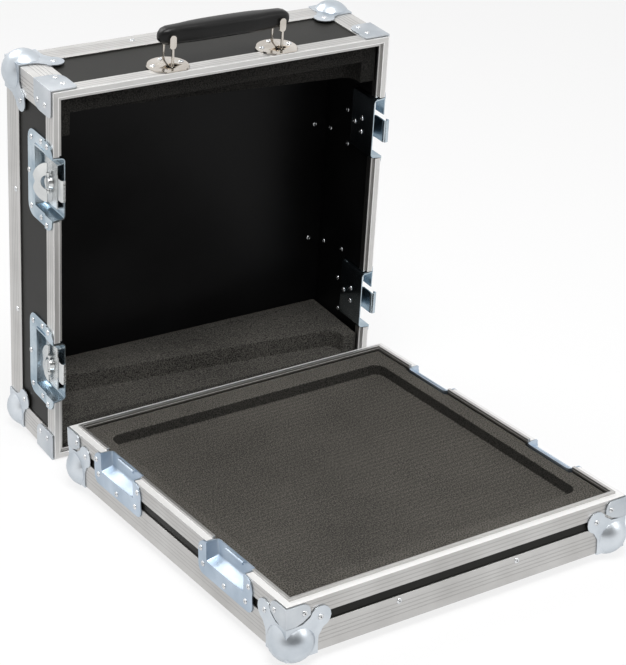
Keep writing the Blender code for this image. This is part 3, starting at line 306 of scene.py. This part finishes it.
def paint(names, material):
    for name in names:
        nodes[name].data.materials.clear()
        nodes[name].data.materials.append(material)


def laminate():
    material, tree, shader = shader_tree("black_laminate")
    pebble = speckle(tree, PEBBLE_SCALE, detail=2)
    cloud = speckle(tree, SHEEN_CLOUD_SCALE, detail=3)
    shader.inputs["Specular IOR Level"].default_value = LAMINATE_SPECULAR
    colour = ramp(tree, cloud, *CLOUD_SPAN, *LAMINATE_COLOURS)
    tree.links.new(colour, shader.inputs["Base Color"])
    roughness(tree, shader, pebble, low=0.36, high=0.52)
    bump(tree, shader, pebble, strength=0.10, distance=0.0002)
    return material


def inner_film():
    material, tree, shader = shader_tree("inner_film_painted_shade")
    pebble = speckle(tree, PEBBLE_SCALE, detail=2)
    cloud = speckle(tree, SHEEN_CLOUD_SCALE, detail=3)
    shader.inputs["Specular IOR Level"].default_value = FILM_SPECULAR
    # Painted shade: the film's darker colours
    colour = ramp(tree, cloud, *CLOUD_SPAN, *FILM_PAINTED_SHADE_COLOURS)
    tree.links.new(colour, shader.inputs["Base Color"])
    roughness(tree, shader, cloud, low=0.30, high=0.42)
    bump(tree, shader, pebble, strength=0.04, distance=0.0001)
    return material


def film_inside(name):
    """Of a cover panel, the faces that lie inside the cover's walls get the second material."""
    back = COVER.inverted()
    mesh = nodes[name].data
    for face in mesh.polygons:
        x, y, z = back @ face.center
        inside = (abs(x) < INSIDE_HALF_WIDTH and y < INSIDE_DEPTH
                  and INSIDE_LENGTH[0] < z < INSIDE_LENGTH[1])
        face.material_index = int(inside)


LAMINATE = laminate()
INNER_FILM = inner_film()
paint(["tray_base_panel", "tray_walls"], LAMINATE)
for panel in [name for name in nodes if name.endswith("_panel") and not name.startswith("tray")]:
    paint([panel], LAMINATE)
    nodes[panel].data.materials.append(INNER_FILM)
    film_inside(panel)


# Extrusions of both halves: clear anodised aluminium bars with fine ribs drawn along each face, the
# ribs darkened with painted shade in their grooves. The closing faces carry a painted highlight, a
# paler and less metallic colour that is strongest on their rims. Double angles run along the edges,
# and tongued and grooved bars close the halves. All are riveted.

TRAY = Matrix.Translation((-0.0065423, 0.1477851, 0.0105)) @ Matrix.Rotation(0.0284489, 4, "Z")
HALF_WIDTH, COVER_DEPTH, CASE_LENGTH, TRAY_DEPTH = 215, 121, 460, 61
CLOSING_BAR_HEIGHT = 0.0186
ANGLE_RIBS = {"First": 0.0095, "Pitch": 0.0045, "Last": 0.0230}
CLOSING_BAR_RIBS = {"First": 0.0046, "Pitch": 0.0046, "Last": 0.0138}
RIB_HALF_WIDTH = (0.0002, 0.0008)
RIB_REACH = 0.4
CLOSING_FACE = 0.0004
OUTER_RIM = 0.0009
INNER_RIM = 0.0060
ALUMINIUM_COLOURS = (0.50, 0.492, 0.48), (0.59, 0.583, 0.572)
# Painted shade for the rib grooves, then the closing faces' painted highlight and how much less
# metallic it makes them
RIB_SHADE_COLOUR = (0.12, 0.118, 0.115)
PAINTED_HIGHLIGHT_COLOUR = (0.88, 0.875, 0.865)
PAINTED_HIGHLIGHT_UNMETAL = 0.7
DRAWN_GRAIN_HEIGHT = 0.15


def ribs_group():
    """Evenly spaced lines at distances from an edge: 1 in a line, 0 between the lines."""
    tree, start, end = group("ribs", [("Distance", 0.0), ("First", 0.008), ("Pitch", 0.005),
                                      ("Last", 0.024)], "Line")
    distance, first = start.outputs["Distance"], start.outputs["First"]
    pitch, last = start.outputs["Pitch"], start.outputs["Last"]
    steps = math_node(tree, "DIVIDE", math_node(tree, "SUBTRACT", distance, first), pitch)
    off = math_node(tree, "SUBTRACT", steps, math_node(tree, "ROUND", steps))
    away = math_node(tree, "MULTIPLY", math_node(tree, "ABSOLUTE", off), pitch)
    edge = map_range(tree, away, *RIB_HALF_WIDTH, 1.0, 0.0, smooth=True)
    reach = math_node(tree, "MULTIPLY", pitch, RIB_REACH)
    past_first = math_node(tree, "GREATER_THAN", distance,
                           math_node(tree, "SUBTRACT", first, reach))
    before_last = math_node(tree, "LESS_THAN", distance, math_node(tree, "ADD", last, reach))
    inside = math_node(tree, "MULTIPLY", past_first, before_last)
    tree.links.new(math_node(tree, "MULTIPLY", edge, inside), end.inputs["Line"])
    return tree


def closing_highlight_group():
    """The closing face's painted highlight: 1 on its inner and outer rims, and the given share on
    the face between them.
    """
    tree, start, end = group("closing_painted_highlight", [("Behind", 0.0), ("Inward", 0.0), ("Face highlight", 0.5)],
                             "Highlit")
    inward = start.outputs["Inward"]
    rims = math_node(tree, "ADD", math_node(tree, "GREATER_THAN", inward, INNER_RIM),
                     math_node(tree, "LESS_THAN", inward, OUTER_RIM))
    on_face = math_node(tree, "LESS_THAN", start.outputs["Behind"], CLOSING_FACE)
    brightened = math_node(tree, "MAXIMUM", rims, start.outputs["Face highlight"])
    tree.links.new(math_node(tree, "MULTIPLY", on_face, brightened), end.inputs["Highlit"])
    return tree


RIBS = ribs_group()
CLOSING_PAINTED_HIGHLIGHT = closing_highlight_group()


def half_coordinates(tree, stance):
    """Object coordinates turned into the frame of the cover or the tray."""
    place = tree.nodes.new("ShaderNodeTexCoord")
    back = tree.nodes.new("ShaderNodeMapping")
    back.vector_type = "TEXTURE"
    back.inputs["Location"].default_value = stance.to_translation()
    back.inputs["Rotation"].default_value = stance.to_euler()
    split = tree.nodes.new("ShaderNodeSeparateXYZ")
    tree.links.new(place.outputs["Object"], back.inputs["Vector"])
    tree.links.new(back.outputs["Vector"], split.inputs["Vector"])
    return {axis: split.outputs[axis] for axis in "XYZ"}


def tint(tree, colour, amount, shade):
    """A colour mixed towards another one where amount is 1."""
    mix = tree.nodes.new("ShaderNodeMix")
    mix.data_type = "RGBA"
    mix.inputs["B"].default_value = (*shade, 1)
    tree.links.new(amount, mix.inputs["Factor"])
    tree.links.new(colour, mix.inputs["A"])
    return mix.outputs["Result"]


def aluminium(name, stance, along, deep, middle, closing, back, rib_shade, face_highlight):
    """
    Along is the axis of the half's length and deep that of its depth. Middle lies halfway along,
    and closing and back are the depths of the closing face and of the face behind. Ribs run at
    set distances from each edge, and the drawn grain runs along the bar.
    """
    material, tree, shader = shader_tree(name)
    shader.inputs["Metallic"].default_value = 1.0
    shader.inputs["Anisotropic"].default_value = 0.75
    place = half_coordinates(tree, stance)

    def off(axis, level):
        return math_node(tree, "ABSOLUTE", math_node(tree, "SUBTRACT", place[axis], level))

    from_side = math_node(tree, "SUBTRACT", HALF_WIDTH / 1000, off("X", 0))
    from_end = math_node(tree, "SUBTRACT", CASE_LENGTH / 2000, off(along, middle / 1000))
    from_back = off(deep, back / 1000)
    behind = off(deep, closing / 1000)
    angle_lines = [placed_group(tree, RIBS, {"Distance": distance, **ANGLE_RIBS})
                   for distance in (from_side, from_end, from_back)]
    line = math_node(tree, "MAXIMUM", angle_lines[0], angle_lines[1])
    line = math_node(tree, "MAXIMUM", line, angle_lines[2])
    line = math_node(tree, "MULTIPLY", line,
                     math_node(tree, "GREATER_THAN", behind, CLOSING_BAR_HEIGHT))
    line = math_node(tree, "MAXIMUM", line,
                     placed_group(tree, RIBS, {"Distance": behind, **CLOSING_BAR_RIBS}))

    across = math_node(tree, "GREATER_THAN", from_side, from_end)
    grain = tree.nodes.new("ShaderNodeCombineXYZ")
    tree.links.new(across, grain.inputs["X"])
    tree.links.new(math_node(tree, "SUBTRACT", 1.0, across), grain.inputs[along])
    tree.links.new(grain.outputs["Vector"], shader.inputs["Tangent"])

    fine = speckle(tree, scale=900, detail=2)
    colour = ramp(tree, speckle(tree, scale=18, detail=3), *CLOUD_SPAN, *ALUMINIUM_COLOURS)
    # Painted highlight: the closing faces, and most of all their rims, turn paler and less metallic
    # in place of the light they catch
    inward = math_node(tree, "MINIMUM", from_side, from_end)
    brightened = placed_group(tree, CLOSING_PAINTED_HIGHLIGHT, {"Behind": behind, "Inward": inward, "Face highlight": face_highlight})
    colour = tint(tree, colour, brightened, PAINTED_HIGHLIGHT_COLOUR)
    # Painted shade: the rib lines are darkened, more on the cover than on the tray
    colour = tint(tree, colour, math_node(tree, "MULTIPLY", line, rib_shade), RIB_SHADE_COLOUR)
    tree.links.new(colour, shader.inputs["Base Color"])
    unmetal = math_node(tree, "MULTIPLY", brightened, PAINTED_HIGHLIGHT_UNMETAL)
    tree.links.new(math_node(tree, "SUBTRACT", 1.0, unmetal), shader.inputs["Metallic"])
    roughness(tree, shader, fine, low=0.32, high=0.46)
    height = math_node(tree, "MULTIPLY", fine, DRAWN_GRAIN_HEIGHT)
    height = math_node(tree, "SUBTRACT", height, line)
    bump(tree, shader, height, strength=0.5, distance=0.0003, edge=0.0007)
    return material


bars = [name for name in nodes if name.endswith(("_rail", "_edge_angles"))]
# The tray's closing faces get the full painted highlight and the cover's a quarter of it, and the
# cover's ribs get nearly twice the painted shade of the tray's
paint([name for name in bars if name.startswith("cover")],
      aluminium("anodised_aluminium_cover", COVER, along="Z", deep="Y", middle=CASE_LENGTH / 2,
                closing=0, back=COVER_DEPTH, rib_shade=0.48, face_highlight=0.25))
paint([name for name in bars if name.startswith("tray")],
      aluminium("anodised_aluminium_tray", TRAY, along="Y", deep="Z", middle=-CASE_LENGTH / 2,
                closing=TRAY_DEPTH, back=0, rib_shade=0.26, face_highlight=1.0))


# Ball corners and braces: zinc-plated steel sheet, drawn into balls for the corners and sheared and
# bent for the braces at the openings. They are riveted over the ends of the extrusions.

PLATE_SPAN = (0.12, 0.55)
PLATE_CLOUD = 0.8
# Painted shade: how much darker the plate turns where it is seen edge-on
PLATE_EDGE_ON_SHADE = -0.25
PLATE_DENT = 1.5


def zinc(name, low, high, rough, edge=None, pressed=0.0004):
    """Plate that clouds from the low to the high colour and turns darker where it is seen edge-on,
    as painted shade; pressed is how uneven the sheet lies.
    """
    material, tree, shader = shader_tree(name)
    shader.inputs["Metallic"].default_value = 1.0
    cloud = speckle(tree, scale=26, detail=4)
    fine = speckle(tree, scale=700, detail=2)
    facing = tree.nodes.new("ShaderNodeLayerWeight")
    facing.inputs["Blend"].default_value = 0.35
    # Painted shade: the tone drops as the plate turns edge-on to the view
    tone = math_node(tree, "ADD", math_node(tree, "MULTIPLY", cloud, PLATE_CLOUD),
                     math_node(tree, "MULTIPLY", facing.outputs["Facing"], PLATE_EDGE_ON_SHADE))
    tree.links.new(ramp(tree, tone, *PLATE_SPAN, low, high), shader.inputs["Base Color"])
    roughness(tree, shader, cloud, *rough)
    height = math_node(tree, "ADD", math_node(tree, "MULTIPLY", cloud, PLATE_DENT), fine)
    bump(tree, shader, height, strength=0.12, distance=pressed, edge=edge)
    return material


paint([name for name in nodes if "ball_corner" in name],
      zinc("zinc_plate_drawn", low=(0.46, 0.51, 0.56), high=(0.74, 0.78, 0.82),
           rough=(0.26, 0.40)))
paint([name for name in nodes if "_brace_" in name],
      zinc("zinc_plate_sheared", low=(0.44, 0.48, 0.52), high=(0.68, 0.71, 0.74),
           rough=(0.32, 0.46), edge=0.0006))


# Dishes, keepers, hinge sockets and hinge straps: zinc-plated steel with a colder blue cast. They
# are pressed and let into cut-outs in board and extrusion, with a flange riveted on all round.

# Latch and hinge dishes and straps: their low colour, darker than the keepers', is painted shade of
# the deep dishes
paint([name for name in nodes if name.endswith(("latch_dish", "hinge_dish", "strap"))],
      zinc("zinc_plate_deep_painted_shade", low=(0.26, 0.35, 0.42), high=(0.64, 0.71, 0.76),
           rough=(0.14, 0.28)))
paint([name for name in nodes if "keeper" in name or "socket" in name],
      zinc("zinc_plate", low=(0.36, 0.44, 0.53), high=(0.60, 0.68, 0.77), rough=(0.34, 0.50)))


# Latches: bridge, sliding hook, spindle and folding wing in each latch dish. They are brighter
# plated steel, worn by hands and uneven from pressing, and the bridge holds them in the dish.

paint([name for name in nodes if "_latch_" in name and "dish" not in name],
      zinc("zinc_plate_worn", low=(0.44, 0.46, 0.47), high=(0.78, 0.79, 0.78),
           rough=(0.08, 0.22), pressed=0.008))


# Rivets: zinc-plated steel with a domed head and a sunk pin, whose dark colour is painted shade of
# the hollow, closed through fittings, bars and boards. Each half's are one piece, and each rivet
# sits on whatever face lies under its place.

HEAD_PROFILE = ((3.3, -0.3), (3.3, 0.25), (2.9, 0.75), (2.0, 1.15), (1.05, 1.3), (0.9, 0.85),
                (0, 0.75))
PIN_RADIUS = 0.0009
REACH = 0.06
STAND_OFF = 40
RIVET_HEAD = zinc("rivet_head", low=(0.55, 0.57, 0.59), high=(0.80, 0.81, 0.82),
                  rough=(0.16, 0.30))
# Painted shade: the sunk pin is dark for the shade in the rivet's hollow
RIVET_HOLLOW_SHADE = zinc("rivet_hollow_shade", low=(0.07, 0.07, 0.07), high=(0.16, 0.16, 0.16), rough=(0.4, 0.6))

# All in mm. A pair in the cover is the depth behind the closing face and the height, off the
# dish's middle in COVER_DISH. A pair in the tray is the way along from the dish's middle and the
# height. LOBE and CORNER_LEG are how far in from the half's edges a corner's rivets sit.
STATIONS = (115, 345)
LOBE = 39
CORNER_LEG = 20
COVER_LEG_DEPTHS = (17, 36)
COVER_DISH = ((58, 42), (14, 47), (64, 0), (59, -42), (15, -48), (33, 46), (33, -46))
COVER_ANGLE_LEVELS = (152, 306)
COVER_INSIDE = ((64, 346), (60, 303), (58, 160), (63, 118), (58, 77), (100, 308), (100, 153))
COVER_SIDE_INSET = 21
COVER_TOP_INSET = 13
INSIDE_X = HALF_WIDTH - 50
INSIDE_Y = 70
STRAP = ((25, 350), (40, 341), (25, 333), (40, 113), (24, 122.5), (24, 105))
BACK_SIDES = (-191, 191)
BACK_LEVELS = (155, 311)
ACROSS_STATIONS = (-65, 75)
HANDLE_BASE = ((-18, 24), (18, 24), (0, 39))
HANDLE_STAND_OFF = 20
TRAY_LOBE_LEVEL = 39
TRAY_LEG_LEVEL = 49
TRAY_ANGLE_LEVEL = 25
TRAY_ACROSS_STATIONS = (-80, 70)
TRAY_DISH = ((40, 30), (-44, 32), (-2, 26), (46, 50), (-48, 49))


def rivet_mesh():
    work = bmesh.new()
    verts = [work.verts.new((radius / 1000, 0, height / 1000)) for radius, height in HEAD_PROFILE]
    for first, second in zip(verts, verts[1:]):
        work.edges.new((first, second))
    bmesh.ops.spin(work, geom=work.verts[:] + work.edges[:], cent=(0, 0, 0), axis=(0, 0, 1),
                   angle=math.tau, steps=16, use_merge=True)
    bmesh.ops.remove_doubles(work, verts=work.verts, dist=0.00001)
    bmesh.ops.recalc_face_normals(work, faces=work.faces)
    for face in work.faces:
        # The sunk middle takes the second material, the pin's painted shade
        face.material_index = int(face.calc_center_median().to_2d().length < PIN_RADIUS)
        face.smooth = True
    mesh = bpy.data.meshes.new("rivet")
    work.to_mesh(mesh)
    work.free()
    return mesh


RIVET = rivet_mesh()


def surfaces(names):
    verts, faces = [], []
    for name in names:
        mesh = nodes[name].data
        start = len(verts)
        verts += [vert.co.copy() for vert in mesh.vertices]
        faces += [[start + index for index in face.vertices] for face in mesh.polygons]
    return BVHTree.FromPolygons(verts, faces)


def rivet_set(name, body, stance, places):
    """One piece of many rivets. Each place is a point in mm off the face and the way to it."""
    tree = surfaces([node for node in nodes
                     if nodes[node]["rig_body"] == body and "foam" not in node])
    work = bmesh.new()
    for point, way in places:
        start = stance @ (Vector(point) / 1000)
        way = stance.to_3x3() @ Vector(way)
        hit = tree.ray_cast(start, way, REACH)[0]
        if hit is None:
            print("no face for a rivet of", name, "at", point)
            continue
        before = len(work.verts)
        work.from_mesh(RIVET)
        turn = (-way).to_track_quat("Z", "Y").to_matrix().to_4x4()
        bmesh.ops.transform(work, matrix=Matrix.Translation(hit) @ turn,
                            verts=work.verts[before:])
    mesh = bpy.data.meshes.new(name)
    work.to_mesh(mesh)
    work.free()
    piece = bpy.data.objects.new(name, mesh)
    scene.collection.objects.link(piece)
    for material in (RIVET_HEAD, RIVET_HOLLOW_SHADE):
        mesh.materials.append(material)
    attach(piece, body)


def cover_rivets():
    places = []
    for side in (-1, 1):
        outside = side * (HALF_WIDTH + STAND_OFF)
        inward = (-side, 0, 0)
        for station in STATIONS:
            for depth, level in COVER_DISH:
                places.append(((outside, depth, station + level), inward))
        for level in COVER_ANGLE_LEVELS:
            places.append(((outside, COVER_DEPTH - COVER_SIDE_INSET, level), inward))
        for end, up in ((0, 1), (CASE_LENGTH, -1)):
            places.append(((outside, COVER_DEPTH - LOBE, end + LOBE * up), inward))
            for depth in COVER_LEG_DEPTHS:
                places.append(((outside, depth, end + CORNER_LEG * up), inward))
        for depth, level in COVER_INSIDE:
            places.append(((side * INSIDE_X, depth, level), (side, 0, 0)))
    for depth, level in STRAP:
        places.append(((INSIDE_X, depth, level), (1, 0, 0)))
    for end, up in ((0, 1), (CASE_LENGTH, -1)):
        off_face = end - STAND_OFF * up
        for side in (-1, 1):
            places.append(((side * (HALF_WIDTH - LOBE), COVER_DEPTH - LOBE, off_face),
                           (0, 0, up)))
            places.append(((side * (HALF_WIDTH - LOBE), COVER_DEPTH + STAND_OFF,
                            end + LOBE * up), (0, -1, 0)))
            # Under the case these two heads would stand below the floor
            if end:
                for depth in COVER_LEG_DEPTHS:
                    places.append(((side * (HALF_WIDTH - CORNER_LEG), depth, off_face),
                                   (0, 0, up)))
        for x in ACROSS_STATIONS:
            places.append(((x, COVER_DEPTH - COVER_TOP_INSET, off_face), (0, 0, up)))
    for x in BACK_SIDES:
        for level in BACK_LEVELS:
            places.append(((x, INSIDE_Y, level), (0, 1, 0)))
            places.append(((x, COVER_DEPTH + STAND_OFF, level), (0, -1, 0)))
    for x in ACROSS_STATIONS:
        for dx, depth in HANDLE_BASE:
            places.append(((x + dx, depth, CASE_LENGTH + HANDLE_STAND_OFF), (0, 0, -1)))
    return places


def tray_rivets():
    places = []
    for side in (-1, 1):
        outside = side * (HALF_WIDTH + STAND_OFF)
        inward = (-side, 0, 0)
        for station in STATIONS:
            for along, level in TRAY_DISH:
                places.append(((outside, -station - along, level), inward))
        for end, step in ((0, -1), (CASE_LENGTH, 1)):
            places.append(((outside, -end + LOBE * step, TRAY_LOBE_LEVEL), inward))
            places.append(((outside, -end + CORNER_LEG * step, TRAY_LEG_LEVEL), inward))
    for end, way in ((STAND_OFF, (0, -1, 0)), (-CASE_LENGTH - STAND_OFF, (0, 1, 0))):
        for side in (-1, 1):
            places.append(((side * (HALF_WIDTH - LOBE), end, TRAY_LOBE_LEVEL), way))
            places.append(((side * (HALF_WIDTH - CORNER_LEG), end, TRAY_LEG_LEVEL), way))
        for x in TRAY_ACROSS_STATIONS:
            places.append(((x, end, TRAY_ANGLE_LEVEL), way))
    for x in (LOBE - HALF_WIDTH, HALF_WIDTH - LOBE):
        for along in (LOBE, CASE_LENGTH - LOBE):
            places.append(((x, -along, -STAND_OFF), (0, 0, 1)))
    return places


rivet_set("cover_rivets", "case_cover", COVER, cover_rivets())
rivet_set("tray_rivets", "case_tray", TRAY, tray_rivets())


# Foam in both halves: blocks of dark closed-cell foam, cut to fit the mixer and glued in. The cells
# show as a fine speckle, and the cutter left lines across the floor of the tray's recess. The
# upright faces of the tray's foam are tinted dark as painted shade, and the top foam's darker
# colours are painted shade too.

CELL_SCALE = 780
FOAM_SPAN = (0.39, 0.61)
GRAIN_SHARE = 0.85
BROAD_SHARE = 0.15
# Painted shade on the upright faces of the tray's foam: how strongly it tints them
UPRIGHT_SHADE_SHARE = 0.7
CUT_LINE_SHARE = 0.42
CUT_LINE_DEPTH = 0.4
CUT_PITCH = 0.0078
RECESS_LEVEL = 0.0465
UPRIGHT_FACE = 0.5
# The colour of that painted shade
UPRIGHT_SHADE_COLOUR = (0.008, 0.008, 0.007)
EASED_EDGE = 0.0014


def foam_material(name, low, high, lined_and_shaded=False):
    material, tree, shader = shader_tree(name)
    shader.inputs["Roughness"].default_value = 0.95
    shader.inputs["Specular IOR Level"].default_value = 0.2
    place = tree.nodes.new("ShaderNodeTexCoord")
    cells = tree.nodes.new("ShaderNodeTexVoronoi")
    cells.inputs["Scale"].default_value = CELL_SCALE
    tree.links.new(place.outputs["Object"], cells.inputs["Vector"])
    grain = speckle(tree, scale=680, detail=4)
    broad = speckle(tree, scale=9, detail=2)
    tone = math_node(tree, "ADD", math_node(tree, "MULTIPLY", grain, GRAIN_SHARE),
                     math_node(tree, "MULTIPLY", broad, BROAD_SHARE))
    colour = ramp(tree, tone, *FOAM_SPAN, low, high)
    height = math_node(tree, "MULTIPLY", cells.outputs["Distance"], grain)
    if lined_and_shaded:
        half = half_coordinates(tree, TRAY)
        wave = math_node(tree, "MULTIPLY", half["Y"], math.tau / CUT_PITCH)
        wave = math_node(tree, "ADD", math_node(tree, "SINE", wave), 1.0)
        wave = math_node(tree, "MULTIPLY", wave, 0.5)
        in_recess = math_node(tree, "LESS_THAN", half["Z"], RECESS_LEVEL)
        wave = math_node(tree, "MULTIPLY", wave, in_recess)
        wave = math_node(tree, "MULTIPLY", wave, broad)
        # Painted shade: faces that stand upright, such as the walls of the recess, are tinted dark
        # for the shade they lie in
        surface = tree.nodes.new("ShaderNodeNewGeometry")
        upright = tree.nodes.new("ShaderNodeSeparateXYZ")
        tree.links.new(surface.outputs["True Normal"], upright.inputs["Vector"])
        wall = math_node(tree, "LESS_THAN",
                         math_node(tree, "ABSOLUTE", upright.outputs["Z"]), UPRIGHT_FACE)
        wall = math_node(tree, "MULTIPLY", wall, UPRIGHT_SHADE_SHARE)
        colour = tint(tree, colour, wall, UPRIGHT_SHADE_COLOUR)
        colour = tint(tree, colour, math_node(tree, "MULTIPLY", wave, CUT_LINE_SHARE), low)
        line = math_node(tree, "MULTIPLY", wave, CUT_LINE_DEPTH)
        height = math_node(tree, "SUBTRACT", height, line)
    tree.links.new(colour, shader.inputs["Base Color"])
    bump(tree, shader, height, strength=0.8, distance=0.0010)
    return material


def foam_copy(node, body, material):
    """The foam as a soft piece: the CAD block with its cut edges eased."""
    mesh = nodes[node].data.copy()
    work = bmesh.new()
    work.from_mesh(mesh)
    bmesh.ops.remove_doubles(work, verts=work.verts, dist=0.00001)
    bmesh.ops.dissolve_limit(work, angle_limit=math.radians(1), verts=work.verts,
                             edges=work.edges)
    bmesh.ops.recalc_face_normals(work, faces=work.faces)
    sharp = [edge for edge in work.edges
             if len(edge.link_faces) == 2 and edge.calc_face_angle(0) > math.radians(20)]
    bmesh.ops.bevel(work, geom=sharp, offset=EASED_EDGE, segments=2, profile=0.5, affect="EDGES",
                    clamp_overlap=True)
    work.to_mesh(mesh)
    work.free()
    piece = bpy.data.objects.new(f"soft_{node}", mesh)
    scene.collection.objects.link(piece)
    mesh.materials.clear()
    mesh.materials.append(material)
    mesh.shade_smooth()
    mesh.set_sharp_from_angle(angle=math.radians(50))
    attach(piece, body)
    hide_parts(node)


foam_copy("bottom_foam", "case_cover",
          foam_material("closed_cell_foam", low=(0.014, 0.0135, 0.012), high=(0.105, 0.099, 0.088)))
# The top foam is the same foam as the others; its darker colours are painted shade, as little light
# reaches it
foam_copy("top_foam", "case_cover",
          foam_material("closed_cell_foam_painted_shade", low=(0.004, 0.004, 0.0036),
                        high=(0.026, 0.0245, 0.022)))
foam_copy("tray_foam", "case_tray",
          foam_material("closed_cell_foam_tray", low=(0.018, 0.017, 0.015),
                        high=(0.130, 0.121, 0.106), lined_and_shaded=True))


# Handle bases and bails: round bases of pressed steel riveted to the top, and bails of bent wire
# that swing in their arches. Both are polished and plated with warm nickel.

NICKEL_COLOURS = (0.50, 0.46, 0.41), (0.66, 0.62, 0.57)


def nickel():
    material, tree, shader = shader_tree("nickel_plate")
    shader.inputs["Metallic"].default_value = 1.0
    cloud = speckle(tree, scale=40, detail=3)
    colour = ramp(tree, cloud, *CLOUD_SPAN, *NICKEL_COLOURS)
    tree.links.new(colour, shader.inputs["Base Color"])
    roughness(tree, shader, cloud, low=0.10, high=0.20)
    return material


paint(["handle_base_left", "handle_base_right", "handle_bail_left", "handle_bail_right"], nickel())


# Handle grip: one moulding of black plastic with a fine grain and rounded edges. It hangs between
# the two bails, on the eyes at their upper ends.

GRIP_COLOURS = (0.0035, 0.0035, 0.0035), (0.0080, 0.0080, 0.0078)


def moulding():
    material, tree, shader = shader_tree("moulded_grip")
    grain = speckle(tree, scale=1100, detail=4)
    colour = ramp(tree, grain, *CLOUD_SPAN, *GRIP_COLOURS)
    tree.links.new(colour, shader.inputs["Base Color"])
    shader.inputs["Specular IOR Level"].default_value = 0.24
    roughness(tree, shader, grain, low=0.26, high=0.44)
    bump(tree, shader, grain, strength=0.30, distance=0.0003)
    return material


paint(["handle_grip"], moulding())


# Round fittings of both halves: the CAD meshes are facets, so they are joined and shaded smooth,
# then split again where the real piece has an edge

ROUND = ("corner", "handle_", "spindle", "socket", "strap", "dish", "hook", "wing", "_rail")
REAL_EDGE = math.radians(34)

for name, node in nodes.items():
    if not any(word in name for word in ROUND):
        continue
    normals = node.data.attributes.get("custom_normal")
    if normals is not None:
        node.data.attributes.remove(normals)
    node.data.shade_smooth()
    weld = node.modifiers.new("joined", "WELD")
    weld.merge_threshold = 0.00001
    split = node.modifiers.new("real_edges", "EDGE_SPLIT")
    split.split_angle = REAL_EDGE
